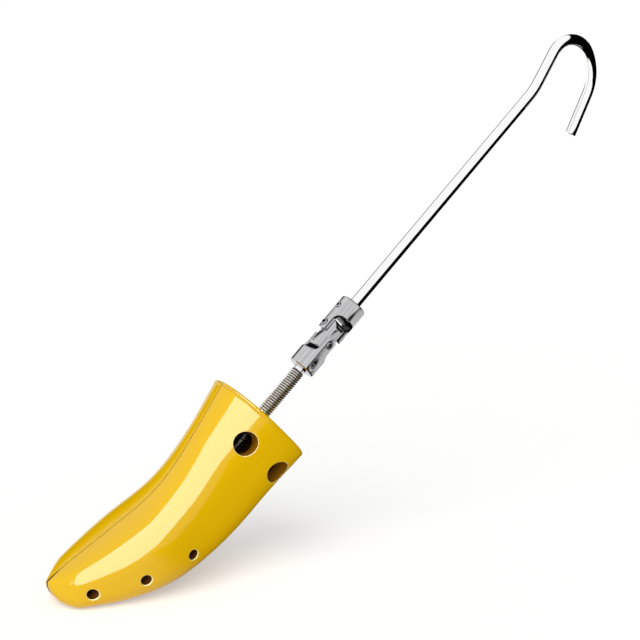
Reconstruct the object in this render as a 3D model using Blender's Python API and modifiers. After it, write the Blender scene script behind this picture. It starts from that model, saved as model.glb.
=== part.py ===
"""Boot tree: a two-part last that a screw spreads, with a jointed rod handle.

Metres, +Z up. The sole's flat lies on Z = 0 and the toe points to -X. The two halves of
the last meet at the plane Y = 0, and the left half is on the -Y side.
The rod axis lies in that plane. In its frame local Z runs out of the cuff along the rod,
local X points to the instep side and local Y to the left half.
"""

from math import acos, cos, hypot, pi, radians, sin, sqrt, tan

import bmesh
import bpy
from mathutils import Matrix, Vector

MM = 0.001

# Fits between pieces
FIT = 0.3 * MM  # gap between pieces that touch
OVERRUN = 2.0 * MM  # how far a cut runs past the face it opens
WELD = 0.00002  # merge distance

# The last: places in the mid-plane
ROD_ANGLE = radians(42.4)  # rod axis above the floor
CUFF_X = 130.0 * MM  # centre of the cuff's end face
CUFF_Z = 104.6 * MM
TOE_REACH = 161.5 * MM  # from the toe's tip to the cuff's centre, along X
CUFF_RISE = 41.1 * MM  # cuff edge above the rod axis, on the instep side
CUFF_DROP = 35.6 * MM  # cuff edge below the rod axis, on the heel side
TOE_TIP_Z = 18.2 * MM
TOE_ROUND = 19.2 * MM  # length of the rounded toe in side view
SOLE_FLAT = 12.8 * MM  # length of the sole's flat, behind the rounded toe
SOLE_DEPTH = 0.5 * MM  # what the flat of the sole takes off the curved form
BALL_HALF_WIDTH = 35.1 * MM  # greatest half width, at the ball of the foot
WALL = 4.0 * MM
SEAM_HALF_GAP = 0.25 * MM
EDGE_ROUND = 2.2 * MM  # chamfer along the cuff's rim

# Instep line between toe tip and cuff: share of the toe reach, share of the cuff's height
INSTEP_SHARES = (
    (0.072, 0.250),
    (0.150, 0.319),
    (0.309, 0.458),
    (0.456, 0.594),
    (0.570, 0.753),
    (0.690, 0.990),
)
# Half widths along the last: share of the way from toe to cuff, share of the ball's
WIDTH_SHARES = (
    (0.0, 0.0),
    (0.012, 0.10),
    (0.04, 0.24),
    (0.08, 0.45),
    (0.13, 0.63),
    (0.28, 0.90),
    (0.42, 1.0),
    (0.60, 0.864),
    (0.80, 0.805),
    (1.0, 0.971),
)
WIDEST_LEVEL_SHARE = 0.485  # height of the widest point, from sole to instep
TOE_FULLNESS = 3.3  # superellipse exponents of the section's upper half, at toe and cuff
CUFF_FULLNESS = 2.15
LOWER_FULLNESS = 3.2
STATIONS = 26
STATION_CROWDING = 1.3  # stations sit closer at the toe
SECTION_STEPS = 16
CAVITY_START_SHARE = 0.035  # where the hollow starts, of the way from toe to cuff

# Plug holes: share of the way from toe to cuff, share of the height from sole to instep
BIG_HOLE_RADIUS = 8.3 * MM
SMALL_HOLE_RADIUS = 3.7 * MM
HOLE_RIM = 0.8 * MM  # width of the bevelled rim
CUFF_HOLE_SHARES = ((0.8756, 0.678), (0.8942, 0.181))
SIDE_HOLE_SHARES = ((0.1506, 0.398), (0.3244, 0.362), (0.5022, 0.305))
CUFF_HOLE_TILTS = (radians(12), radians(-24))
SIDE_HOLE_TILT = radians(-10)
SPINDLE_HOLE_RADIUS = 6.2 * MM

# Toe hinge
TOE_PIN_SETBACK = 11.6 * MM  # behind the toe's tip
TOE_PIN_RADIUS = 1.75 * MM
TOE_PIN_HEAD_RADIUS = 2.9 * MM
TOE_PIN_HEAD = 1.4 * MM
TOE_PIN_GROOVE = 0.35 * MM
KNUCKLE_RADIUS = 3.6 * MM
KNUCKLE_HEIGHT = 3.0 * MM
TOE_STACK_Z = 9.4 * MM  # underside of the lowest knuckle
TOE_CLIP_HEIGHT = 0.8 * MM
TOE_CLIP_RADIUS = 3.0 * MM
OPENING_ANGLE = radians(3)  # each half swings out this far
RELIEF_EXTRA = radians(0.6)  # spare angle of the relief ahead of the toe pin

# Spine: two rails in the mid-plane, joined to a tongue that reaches the toe pin
SPINE_THICKNESS = 3.0 * MM
RAIL_INNER = 10.5 * MM
RAIL_OUTER = 14.5 * MM
NOSE_WALL = 7.4 * MM  # of the spine, past its window
TONGUE_KNEE_SHARES = (0.607, 0.75)  # of the way from the toe pin's eye to the nose
TONGUE_KNEE_HEIGHT = 9.0 * MM

# Nut block, held on the rails just inside the cuff
BLOCK_TOP = -5.0 * MM
BLOCK_LENGTH = 8.0 * MM
BLOCK_HALF_HEIGHT = 17.0 * MM
BLOCK_HALF_WIDTH = 10.5 * MM
NUT_RADIUS = 8.0 * MM
NUT_FLANGE_RADIUS = 9.6 * MM
NUT_FLANGE = 1.6 * MM
BLOCK_SCREW_RADIUS = 1.5 * MM
BLOCK_SCREW_HEAD_RADIUS = 2.7 * MM
BLOCK_SCREW_HEAD = 1.8 * MM
BLOCK_SCREW_SOCKET_RADIUS = 1.2 * MM

# Threaded spindle
THREAD_RADIUS = 5.2 * MM
THREAD_DEPTH = 0.75 * MM
THREAD_PITCH = 1.8 * MM
THREAD_SIDES = 14
NECK_RADIUS = 4.1 * MM
NECK_LENGTH = 3.0 * MM  # bare neck below the joint
JOURNAL_RADIUS = 3.0 * MM  # plain end that turns in the wedge
EXPOSED_LENGTH = 44.9 * MM  # from the cuff's face to the joint, screwed out
FEED_TRAVEL = 27.0 * MM  # how far the spindle screws in

# Spreader wedge and the pads that it pushes apart
WEDGE_TOP = -31.0 * MM
WEDGE_LENGTH = 34.0 * MM
WEDGE_HALF_HEIGHT = 12.5 * MM
WEDGE_NOSE_HALF_WIDTH = 5.0 * MM
WASHER_THICKNESS = 1.2 * MM
WASHER_RADIUS = 6.5 * MM
CLIP_THICKNESS = 1.0 * MM
CLIP_RADIUS = 4.4 * MM
PAD_SETBACK = 4.0 * MM  # pad's centre above the wedge's nose, screwed out
PAD_HALF_HEIGHT = 9.0 * MM
PAD_RADIUS = 5.0 * MM
PAD_BASE = 19.0 * MM  # pad's foot, from the mid-plane
PAD_STEM_RADIUS = 2.5 * MM
PAD_STEM_LENGTH = 5.0 * MM
PAD_RIB_MARGIN = 2.0 * MM

# Return springs across the mid-plane, above and below the rails
SPRING_RADIUS = 2.2 * MM  # to the wire's centre
WIRE_RADIUS = 0.6 * MM
SPRING_TURNS = 11
SPRING_PITCH = 1.9 * MM
SPRING_POINTS = 8  # points a turn
SPRING_TAIL = 5.0 * MM  # straight end in its rib
SPRING_LIFT = 24.0 * MM  # from the pads towards the cuff, along the rod axis
SPRING_GAP = 0.7 * MM  # between spring and rail
RIB_HALF_SIZE = 4.0 * MM

# Universal joint
JOINT_RADIUS = 10.0 * MM
JOINT_CHAMFER = 0.7 * MM
PIVOT_SETBACK = 23.8 * MM  # pivot pin from the yoke's hub end
PIVOT_SPACING = 11.6 * MM  # between the two pivot pins
FLARE_LENGTH = 6.3 * MM  # from the full hub to the ears' own width
EAR_HALF_WIDTH = 4.0 * MM
EAR_PAST_PIN = 4.3 * MM
EAR_CORNER = 1.0 * MM
EAR_THICKNESS = 3.3 * MM
LINK_RADIUS = 7.0 * MM  # of the round bar, whose flats lie in the slots
SLOT_END_GAP = 2.1 * MM  # between the link's round end and the slot's floor
PIVOT_PIN_RADIUS = 2.5 * MM
PIVOT_PIN_PROUD = 0.8 * MM
PIVOT_PIN_DISH = 0.4 * MM
HUB_FLOOR = 2.0 * MM  # between the hub's bore and the slot
CROSS_PIN_RADIUS = 2.0 * MM
LOWER_CROSS_PIN_RECESS = 0.8 * MM
UPPER_CROSS_PIN_PROUD = 0.8 * MM
LOWER_CROSS_PIN = 5.4 * MM  # from the hub end
UPPER_CROSS_PIN = 8.2 * MM

# Handle rod and its hook
ROD_RADIUS = 4.0 * MM
ROD_STRAIGHT = 202.0 * MM  # from the joint to the first bend
SET_BEND = radians(15)  # first bend, away from the hook's mouth
SET_BEND_RADIUS = 52.0 * MM
SET_RUN = 24.6 * MM
CROWN_RADIUS = 18.8 * MM
CROWN_TURN = radians(118)
SHOULDER_RADIUS = 34.5 * MM
SHOULDER_TURN = radians(56)
TAIL_LENGTH = 31.8 * MM
ARC_STEP = radians(9)
TAIL_CHAMFER = 0.8 * MM

ROUND_STEPS = 24  # sides of a turned piece

JOINT_LENGTH = 2 * PIVOT_SETBACK + PIVOT_SPACING
SLOT_HALF_WIDTH = JOINT_RADIUS - EAR_THICKNESS
SLOT_START = PIVOT_SETBACK - SLOT_HALF_WIDTH - SLOT_END_GAP
HUB_BORE_DEPTH = SLOT_START - HUB_FLOOR
EAR_START = PIVOT_SETBACK - EAR_PAST_PIN
FULL_HUB = EAR_START - FLARE_LENGTH
SPINDLE_PLACE = EXPOSED_LENGTH  # joint's lower end, along the rod axis
LOWER_PIVOT = SPINDLE_PLACE + PIVOT_SETBACK
UPPER_PIVOT = SPINDLE_PLACE + JOINT_LENGTH - PIVOT_SETBACK
TOE_TIP = Vector((CUFF_X - TOE_REACH, 0, TOE_TIP_Z))
TOE_PIN_X = TOE_TIP.x + TOE_PIN_SETBACK
CUFF = Vector((CUFF_X, 0, CUFF_Z))
OUT = Vector((cos(ROD_ANGLE), 0, sin(ROD_ANGLE)))
INSTEP_SIDE = Vector((-sin(ROD_ANGLE), 0, cos(ROD_ANGLE)))
WEDGE_NOSE = WEDGE_TOP - WEDGE_LENGTH
PAD_PLACE = WEDGE_NOSE + PAD_SETBACK
PAD_LEVER = CUFF.x + PAD_PLACE * OUT.x - TOE_PIN_X
# Half width gained along the wedge; the pads gain a little on it as they tilt
WEDGE_SLOPE = (PAD_LEVER * tan(OPENING_ANGLE) - FIT / 2) / FEED_TRAVEL
WINDOW_END = WEDGE_NOSE - 2 * (FIT + CLIP_THICKNESS) - FEED_TRAVEL - OVERRUN
SPINE_NOSE = WINDOW_END - NOSE_WALL
SPRING_PLACE = PAD_PLACE + SPRING_LIFT
SPRING_OFFSET = RAIL_OUTER + SPRING_GAP + SPRING_RADIUS + WIRE_RADIUS


# Scene and materials

def clear_scene():
    for thing in list(bpy.data.objects):
        bpy.data.objects.remove(thing, do_unlink=True)


def new_collection(name):
    group = bpy.data.collections.new(name)
    bpy.context.scene.collection.children.link(group)
    return group


def new_material(name, colour, roughness, metallic):
    skin = bpy.data.materials.new(name)
    skin.use_nodes = True
    shader = skin.node_tree.nodes["Principled BSDF"]
    shader.inputs["Base Color"].default_value = (*colour, 1)
    shader.inputs["Roughness"].default_value = roughness
    shader.inputs["Metallic"].default_value = metallic
    skin.diffuse_color = (*colour, 1)
    return skin


clear_scene()
PARTS = new_collection("boot_tree")
CUTTERS = new_collection("cutters")
SKINS = {
    "yellow_plastic": new_material("yellow_plastic", (0.86, 0.52, 0.03), 0.18, 0),
    "grey_nylon": new_material("grey_nylon", (0.55, 0.55, 0.52), 0.5, 0),
    "satin_steel": new_material("satin_steel", (0.52, 0.52, 0.53), 0.32, 1),
    "thread_steel": new_material("thread_steel", (0.45, 0.45, 0.46), 0.28, 1),
    "chrome": new_material("chrome", (0.86, 0.86, 0.87), 0.06, 1),
    "bronze": new_material("bronze", (0.60, 0.42, 0.20), 0.35, 1),
    "spring_steel": new_material("spring_steel", (0.40, 0.40, 0.42), 0.3, 1),
}


def new_object(name, mesh, group):
    thing = bpy.data.objects.new(name, mesh)
    group.objects.link(thing)
    return thing


def new_frame(name, matrix, parent=None):
    frame = bpy.data.objects.new(name, None)
    PARTS.objects.link(frame)
    frame.parent = parent
    frame.matrix_local = matrix
    return frame


def rod_axis_matrix():
    turn = Matrix((INSTEP_SIDE, Vector((0, -1, 0)), OUT)).transposed()
    return Matrix.Translation(CUFF) @ turn.to_4x4()


ROD_AXIS = new_frame("rod_axis", rod_axis_matrix())
bpy.context.view_layer.update()


def in_rod_frame(along, off, across=0.0):
    """World point from a distance along the rod axis, off it and across the mid-plane."""
    return CUFF + OUT * along + INSTEP_SIDE * off + Vector((0, -across, 0))


# Modelling helpers

def mesh_of(bm, name):
    bmesh.ops.recalc_face_normals(bm, faces=bm.faces)
    mesh = bpy.data.meshes.new(name)
    bm.to_mesh(mesh)
    bm.free()
    return mesh


def block_mesh(size, centre, name="block"):
    bm = bmesh.new()
    bmesh.ops.create_cube(bm, size=1)
    bmesh.ops.scale(bm, vec=size, verts=bm.verts)
    bmesh.ops.translate(bm, vec=centre, verts=bm.verts)
    return mesh_of(bm, name)


def rod_mesh(radius, length, centre, axis, end_radius=None, steps=ROUND_STEPS):
    """A cylinder or cone about a centre, along an axis."""
    bm = bmesh.new()
    bmesh.ops.create_cone(
        bm, cap_ends=True, segments=steps, radius1=radius, depth=length,
        radius2=radius if end_radius is None else end_radius,
    )
    turn = Vector((0, 0, 1)).rotation_difference(Vector(axis)).to_matrix().to_4x4()
    bmesh.ops.transform(bm, matrix=Matrix.Translation(centre) @ turn, verts=bm.verts)
    return mesh_of(bm, "rod")


def plate_mesh(outline, half_thickness, frame=Matrix.Identity(4)):
    """A closed outline in local XY, thickened both ways along local Z."""
    curve = bpy.data.curves.new("outline", "CURVE")
    curve.dimensions = "2D"
    curve.fill_mode = "BOTH"
    curve.extrude = half_thickness
    spline = curve.splines.new("POLY")
    spline.points.add(len(outline) - 1)
    for point, place in zip(spline.points, outline):
        point.co = (place[0], place[1], 0, 1)
    spline.use_cyclic_u = True
    mesh = mesh_from_curve(curve)
    mesh.transform(frame)
    return mesh


def mesh_from_curve(curve):
    carrier = new_object("carrier", curve, CUTTERS)
    bpy.context.view_layer.update()
    evaluated = carrier.evaluated_get(bpy.context.evaluated_depsgraph_get())
    mesh = bpy.data.meshes.new_from_object(evaluated)
    bpy.data.objects.remove(carrier)
    return welded(mesh)


def tube_mesh(points, radius, resolution, end_share=1.0):
    """A round wire along a path, its last point drawn in to a share of the radius."""
    curve = bpy.data.curves.new("wire", "CURVE")
    curve.dimensions = "3D"
    curve.bevel_depth = radius
    curve.bevel_resolution = resolution
    curve.use_fill_caps = True
    spline = curve.splines.new("POLY")
    spline.points.add(len(points) - 1)
    for point, place in zip(spline.points, points):
        point.co = (*place, 1)
    spline.points[-1].radius = end_share
    return mesh_from_curve(curve)


def turned_mesh(profile, closed=False, steps=ROUND_STEPS):
    """Radius and height pairs, from the top down the outer side, turned about local Z."""
    mesh = bpy.data.meshes.new("profile")
    count = len(profile)
    edges = [(i, i + 1) for i in range(count - 1)]
    if closed:
        edges.append((count - 1, 0))
    mesh.from_pydata([(radius, 0, height) for radius, height in profile], edges, [])
    carrier = new_object("carrier", mesh, CUTTERS)
    screw = carrier.modifiers.new("Screw", "SCREW")
    screw.axis = "Z"
    screw.steps = steps
    screw.render_steps = steps
    screw.use_merge_vertices = True
    screw.merge_threshold = WELD
    bpy.context.view_layer.update()
    evaluated = carrier.evaluated_get(bpy.context.evaluated_depsgraph_get())
    solid = bpy.data.meshes.new_from_object(evaluated)
    bpy.data.objects.remove(carrier)
    return welded(solid)


def welded(mesh, face_out=True):
    """The mesh without doubled points, its faces turned out unless it may hold a void."""
    bm = bmesh.new()
    bm.from_mesh(mesh)
    bmesh.ops.remove_doubles(bm, verts=bm.verts, dist=WELD)
    bmesh.ops.dissolve_degenerate(bm, edges=bm.edges, dist=WELD)
    if face_out:
        bmesh.ops.recalc_face_normals(bm, faces=bm.faces)
    bm.to_mesh(mesh)
    bm.free()
    return mesh


def combine(mesh, tools, operation):
    """Boolean of a mesh with each tool mesh in turn, all in the same frame."""
    for tool_mesh in tools:
        carrier = new_object("carrier", mesh, CUTTERS)
        tool = new_object(tool_mesh.name, tool_mesh, CUTTERS)
        step = carrier.modifiers.new("step", "BOOLEAN")
        step.operation = operation
        step.solver = "EXACT"
        step.object = tool
        bpy.context.view_layer.update()
        evaluated = carrier.evaluated_get(bpy.context.evaluated_depsgraph_get())
        mesh = welded(bpy.data.meshes.new_from_object(evaluated), face_out=False)
        bpy.data.objects.remove(tool)
        bpy.data.objects.remove(carrier)
    return mesh


def cut(mesh, *tools):
    return combine(mesh, tools, "DIFFERENCE")


def join(mesh, *tools):
    return combine(mesh, tools, "UNION")


def keep_common(mesh, *tools):
    return combine(mesh, tools, "INTERSECT")


def place(name, mesh, skin, parent=None, matrix=Matrix.Identity(4)):
    """Make a named sub-part from a mesh, with its material."""
    mesh.name = name
    mesh.materials.clear()
    mesh.materials.append(SKINS[skin])
    mesh.shade_smooth()
    mesh.set_sharp_from_angle(angle=radians(35))
    thing = new_object(name, mesh, PARTS)
    thing.parent = parent
    thing.matrix_local = matrix
    return thing


def in_rod_axis(mesh):
    """The mesh moved from the rod frame to the world."""
    mesh.transform(ROD_AXIS.matrix_world)
    return mesh


def arc_points(centre, radius, start, end, steps):
    """Points of an arc, angles from the first axis."""
    turn = (end - start) / steps
    return [
        (centre[0] + radius * cos(start + turn * i), centre[1] + radius * sin(start + turn * i))
        for i in range(steps + 1)
    ]


# The last's form

def smooth_through(points, steps=12):
    """A Catmull-Rom curve through 2D points."""
    first = [2 * points[0][k] - points[1][k] for k in (0, 1)]
    last = [2 * points[-1][k] - points[-2][k] for k in (0, 1)]
    knots = [first, *points, last]
    curve = []
    for i in range(1, len(knots) - 2):
        for j in range(steps):
            curve.append(tuple(
                catmull_rom([knots[i + d][k] for d in (-1, 0, 1, 2)], j / steps)
                for k in (0, 1)
            ))
    curve.append(tuple(points[-1]))
    return curve


def catmull_rom(p, t):
    return 0.5 * (
        2 * p[1] + (p[2] - p[0]) * t
        + (2 * p[0] - 5 * p[1] + 4 * p[2] - p[3]) * t * t
        + (3 * p[1] - p[0] - 3 * p[2] + p[3]) * t * t * t
    )


def at_share(line, share):
    """The point that lies a share of the way along a polyline."""
    runs = [hypot(b[0] - a[0], b[1] - a[1]) for a, b in zip(line, line[1:])]
    left = share * sum(runs)
    for (a, b), run in zip(zip(line, line[1:]), runs):
        if left <= run:
            part = left / run
            return Vector((a[0] + (b[0] - a[0]) * part, a[1] + (b[1] - a[1]) * part))
        left -= run
    return Vector(line[-1])


def instep_line():
    """Toe tip to cuff along the top of the last, in X and Z."""
    top = CUFF + INSTEP_SIDE * CUFF_RISE
    line = [(TOE_TIP.x, TOE_TIP.z)]
    line += [(TOE_TIP.x + x * TOE_REACH, z * CUFF_Z) for x, z in INSTEP_SHARES]
    line.append((top.x, top.z))
    return smooth_through(line)


def sole_line():
    """Toe tip to cuff along the sole: rounded toe, flat, bend, straight heel line."""
    base = -SOLE_DEPTH
    foot = CUFF - INSTEP_SIDE * CUFF_DROP
    toe_centre = (TOE_TIP.x + TOE_ROUND, TOE_TIP.z)
    depth = TOE_TIP.z - base
    line = [
        (toe_centre[0] - TOE_ROUND * cos(a), toe_centre[1] - depth * sin(a))
        for a in [pi / 2 * i / 8 for i in range(9)]
    ]
    bend_x = toe_centre[0] + SOLE_FLAT
    rise = (foot.x - bend_x) * tan(ROD_ANGLE) - (foot.z - base)
    bend = rise / (1 / cos(ROD_ANGLE) - 1)
    line += arc_points((bend_x, base + bend), bend, -pi / 2, ROD_ANGLE - pi / 2, 10)
    line.append((foot.x, foot.z))
    return line


def half_width(share):
    table = smooth_through([(a, b) for a, b in WIDTH_SHARES], 8)
    for (a, low), (b, high) in zip(table, table[1:]):
        if a <= share <= b and b > a:
            return BALL_HALF_WIDTH * (low + (high - low) * (share - a) / (b - a))
    return BALL_HALF_WIDTH * table[-1][1]


def power(value, exponent):
    return abs(value) ** (2 / exponent)


def station_shares():
    return [(i / (STATIONS - 1)) ** STATION_CROWDING for i in range(STATIONS)]


def upper_fullness(share):
    return TOE_FULLNESS + (CUFF_FULLNESS - TOE_FULLNESS) * share


def section(top, bottom, width, share):
    """A closed section of the last, from the instep round the left side and the right."""
    centre = bottom + (top - bottom) * WIDEST_LEVEL_SHARE
    points = []
    for i in range(2 * SECTION_STEPS):
        angle = pi / 2 + pi * i / SECTION_STEPS
        upper = sin(angle) > 0
        reach = top - centre if upper else bottom - centre
        fullness = upper_fullness(share) if upper else LOWER_FULLNESS
        way = 1 if cos(angle) > 0 else -1
        spot = centre + reach * power(sin(angle), fullness)
        points.append(Vector((spot.x, way * width * power(cos(angle), fullness), spot.y)))
    return points


def loft_mesh(sections):
    """A closed solid through half sections with equal point counts."""
    bm = bmesh.new()
    rings = [[bm.verts.new(point) for point in section] for section in sections]
    count = len(rings[0])
    for low, high in zip(rings, rings[1:]):
        for i in range(count):
            j = (i + 1) % count
            bm.faces.new((low[i], low[j], high[j], high[i]))
    bm.faces.new(rings[0])
    bm.faces.new(rings[-1])
    bmesh.ops.remove_doubles(bm, verts=bm.verts, dist=WELD)
    bmesh.ops.dissolve_degenerate(bm, edges=bm.edges, dist=WELD)
    return mesh_of(bm, "loft")


def outer_form():
    """The whole last, with a chamfer round the cuff's rim."""
    instep, sole = instep_line(), sole_line()
    sections = [
        section(at_share(instep, share), at_share(sole, share), half_width(share), share)
        for share in station_shares()[:-1]
    ]
    top, bottom = at_share(instep, 1), at_share(sole, 1)
    sunk = Vector((OUT.x, OUT.z)) * -EDGE_ROUND
    inward = (bottom - top).normalized() * EDGE_ROUND
    sections.append(section(top + sunk, bottom + sunk, half_width(1), 1))
    sections.append(section(top + inward, bottom - inward, half_width(1) - EDGE_ROUND, 1))
    return loft_mesh(sections)


def cavity_form():
    """The hollow of the last, which stops a wall short of the cuff's face."""
    instep, sole = instep_line(), sole_line()
    shares = [s for s in station_shares() if s > CAVITY_START_SHARE]
    sections = []
    for share in shares:
        top, bottom = at_share(instep, share), at_share(sole, share)
        inward = (bottom - top).normalized() * WALL
        if share == shares[-1]:
            sunk = Vector((OUT.x, OUT.z)) * -WALL
            top, bottom = top + sunk, bottom + sunk
        sections.append(section(top + inward, bottom - inward, half_width(share) - WALL, share))
    return loft_mesh(sections)


def other_half(side):
    """Everything past one half's meeting face."""
    depth = 2 * BALL_HALF_WIDTH
    size = (4 * TOE_REACH, depth, 4 * TOE_REACH)
    return block_mesh(size, (CUFF_X, side * (SEAM_HALF_GAP - depth / 2), CUFF_Z))


def relief_cut(side):
    """A wedge off the meeting face ahead of the toe pin, so that the halves can swing."""
    reach = TOE_PIN_SETBACK + OVERRUN
    spread = SEAM_HALF_GAP + reach * tan(OPENING_ANGLE + RELIEF_EXTRA)
    outline = [
        (TOE_PIN_X, side * -OVERRUN),
        (TOE_PIN_X, side * SEAM_HALF_GAP),
        (TOE_PIN_X - reach, side * spread),
        (TOE_PIN_X - reach, side * -OVERRUN),
    ]
    return plate_mesh(outline, CUFF_Z)


def plug_hole(place_shares, radius, tilt, side):
    """A round hole through the side wall with a bevelled rim."""
    surface = side_surface(place_shares, side)
    axis = Vector((0, side * cos(tilt), 0)) + INSTEP_SIDE * sin(tilt)
    depth = WALL + OVERRUN
    profile = [
        (0, depth),
        (radius + HOLE_RIM + depth, depth),
        (radius, -HOLE_RIM),
        (radius, -depth),
        (0, -depth),
    ]
    turn = Vector((0, 0, 1)).rotation_difference(axis).to_matrix().to_4x4()
    drill = turned_mesh(profile)
    drill.transform(Matrix.Translation(surface) @ turn)
    return drill


def side_surface(place_shares, side):
    """The side's surface at shares of the last's length and of its height there."""
    share, level = place_shares
    top, bottom = at_share(instep_line(), share), at_share(sole_line(), share)
    upper = level > WIDEST_LEVEL_SHARE
    span = 1 - WIDEST_LEVEL_SHARE if upper else WIDEST_LEVEL_SHARE
    fullness = upper_fullness(share) if upper else LOWER_FULLNESS
    off = abs(level - WIDEST_LEVEL_SHARE) / span
    width = half_width(share) * (1 - off ** fullness) ** (1 / fullness)
    spot = bottom + (top - bottom) * level
    return Vector((spot.x, side * width, spot.y))


# Inside features of a half: knuckle, pad rib and spring ribs

def knuckle_levels():
    """Undersides of the left knuckle, the spine's eye and the right knuckle."""
    step = KNUCKLE_HEIGHT + FIT
    return [TOE_STACK_Z + step * i for i in range(3)]


def knuckle_level(side):
    return knuckle_levels()[0 if side < 0 else 2]


def knuckle(side):
    """The eye round the toe pin and the web that ties it to the side wall."""
    reach = side * BALL_HALF_WIDTH
    start = 0 if side < 0 else pi
    eye = arc_points((TOE_PIN_X, 0), KNUCKLE_RADIUS, start, start + pi, ROUND_STEPS // 2)
    outline = eye + [(eye[-1][0], reach), (eye[0][0], reach)]
    level = knuckle_level(side) + KNUCKLE_HEIGHT / 2
    return plate_mesh(outline, KNUCKLE_HEIGHT / 2, Matrix.Translation((0, 0, level)))


def rib(along, off, half_length, half_height, inner, side):
    """A block from a level off the mid-plane out to the side wall, in the rod frame."""
    reach = 2 * BALL_HALF_WIDTH
    size = (2 * half_height, reach, 2 * half_length)
    centre = (off, -side * (inner + reach / 2), along)
    return in_rod_axis(block_mesh(size, centre))


def pad_rib(side):
    half_length = PAD_RADIUS + PAD_RIB_MARGIN
    half_height = PAD_HALF_HEIGHT + PAD_RIB_MARGIN
    return rib(PAD_PLACE, 0, half_length, half_height, PAD_BASE + FIT, side)


def spring_half_length():
    return SPRING_TURNS * SPRING_PITCH / 2


def spring_rib(end, side):
    inner = spring_half_length() + WIRE_RADIUS + FIT
    return rib(SPRING_PLACE, end * SPRING_OFFSET, RIB_HALF_SIZE, RIB_HALF_SIZE, inner, side)


def spring_bore(end, side):
    depth = SPRING_TAIL + OVERRUN
    start = spring_half_length()
    centre = (end * SPRING_OFFSET, -side * (start + depth / 2), SPRING_PLACE)
    bore = rod_mesh(WIRE_RADIUS + FIT, depth, centre, (0, 1, 0), steps=12)
    return in_rod_axis(bore)


def pad_bore(side):
    depth = PAD_STEM_LENGTH + FIT
    centre = (0, -side * (PAD_BASE + FIT + (depth - OVERRUN) / 2), PAD_PLACE)
    return in_rod_axis(rod_mesh(PAD_STEM_RADIUS + FIT, depth + OVERRUN, centre, (0, 1, 0)))


def spindle_hole():
    centre = (0, 0, -WALL / 2)
    return in_rod_axis(rod_mesh(SPINDLE_HOLE_RADIUS, 3 * WALL, centre, (0, 0, 1)))


def sole_cut():
    size = (4 * TOE_REACH, 4 * BALL_HALF_WIDTH, 2 * OVERRUN)
    return block_mesh(size, (CUFF_X, 0, -OVERRUN))


def toe_pin_bore():
    bore_radius = TOE_PIN_RADIUS + FIT
    return rod_mesh(bore_radius, CUFF_Z / 4, (TOE_PIN_X, 0, knuckle_levels()[1]), (0, 0, 1))


def toe_stack_space(side):
    """Clears the pin's head, its clip and the other knuckles out of this half."""
    radius = KNUCKLE_RADIUS + FIT
    low = TOE_STACK_Z - FIT - TOE_CLIP_HEIGHT - FIT
    high = knuckle_levels()[2] + KNUCKLE_HEIGHT + TOE_PIN_HEAD + 2 * FIT
    own = knuckle_level(side)
    spans = [(low, own - FIT), (own + KNUCKLE_HEIGHT + FIT, high)]
    return [
        rod_mesh(radius, b - a, (TOE_PIN_X, 0, (a + b) / 2), (0, 0, 1))
        for a, b in spans if b > a
    ]


def make_shell(name, side):
    hollow = cut(cavity_form(), knuckle(side), pad_rib(side),
                 spring_rib(1, side), spring_rib(-1, side))
    cuts = [hollow, cut(other_half(side), knuckle(side)), cut(relief_cut(side), knuckle(side))]
    cuts += [sole_cut(), spindle_hole(), pad_bore(side), toe_pin_bore()]
    cuts += [spring_bore(1, side), spring_bore(-1, side), *toe_stack_space(side)]
    for shares, tilt in zip(CUFF_HOLE_SHARES, CUFF_HOLE_TILTS):
        cuts.append(plug_hole(shares, BIG_HOLE_RADIUS, tilt, side))
    for shares in SIDE_HOLE_SHARES:
        cuts.append(plug_hole(shares, SMALL_HOLE_RADIUS, SIDE_HOLE_TILT, side))
    shell = cut(outer_form(), *cuts)
    swing = new_frame(name + "_swing", Matrix.Translation((TOE_PIN_X, 0, 0)))
    shell.transform(Matrix.Translation((-TOE_PIN_X, 0, 0)))
    place(name, shell, "yellow_plastic", swing)
    return swing


def make_pad(name, side, swing):
    """A round-nosed pad on a stem, pushed by the wedge."""
    slope_angle = acos(1 / sqrt(1 + WEDGE_SLOPE ** 2))
    face = WEDGE_NOSE_HALF_WIDTH + PAD_SETBACK * WEDGE_SLOPE
    nose_centre = face + (PAD_RADIUS + FIT) / cos(slope_angle)
    outline = arc_points((nose_centre, 0), PAD_RADIUS, pi / 2, 3 * pi / 2, 10)
    outline += [(PAD_BASE, -PAD_RADIUS), (PAD_BASE, PAD_RADIUS)]
    turn = Matrix(((0, 0, 1, 0), (-side, 0, 0, 0), (0, -side, 0, PAD_PLACE), (0, 0, 0, 1)))
    pad = plate_mesh(outline, PAD_HALF_HEIGHT, turn)
    stem_centre = (0, -side * (PAD_BASE + (PAD_STEM_LENGTH - OVERRUN) / 2), PAD_PLACE)
    stem = rod_mesh(PAD_STEM_RADIUS, PAD_STEM_LENGTH + OVERRUN, stem_centre, (0, 1, 0))
    pad = in_rod_axis(join(pad, stem))
    pad.transform(Matrix.Translation((-TOE_PIN_X, 0, 0)))
    place(name, pad, "grey_nylon", swing)


# Toe pin, spine and nut block

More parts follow.
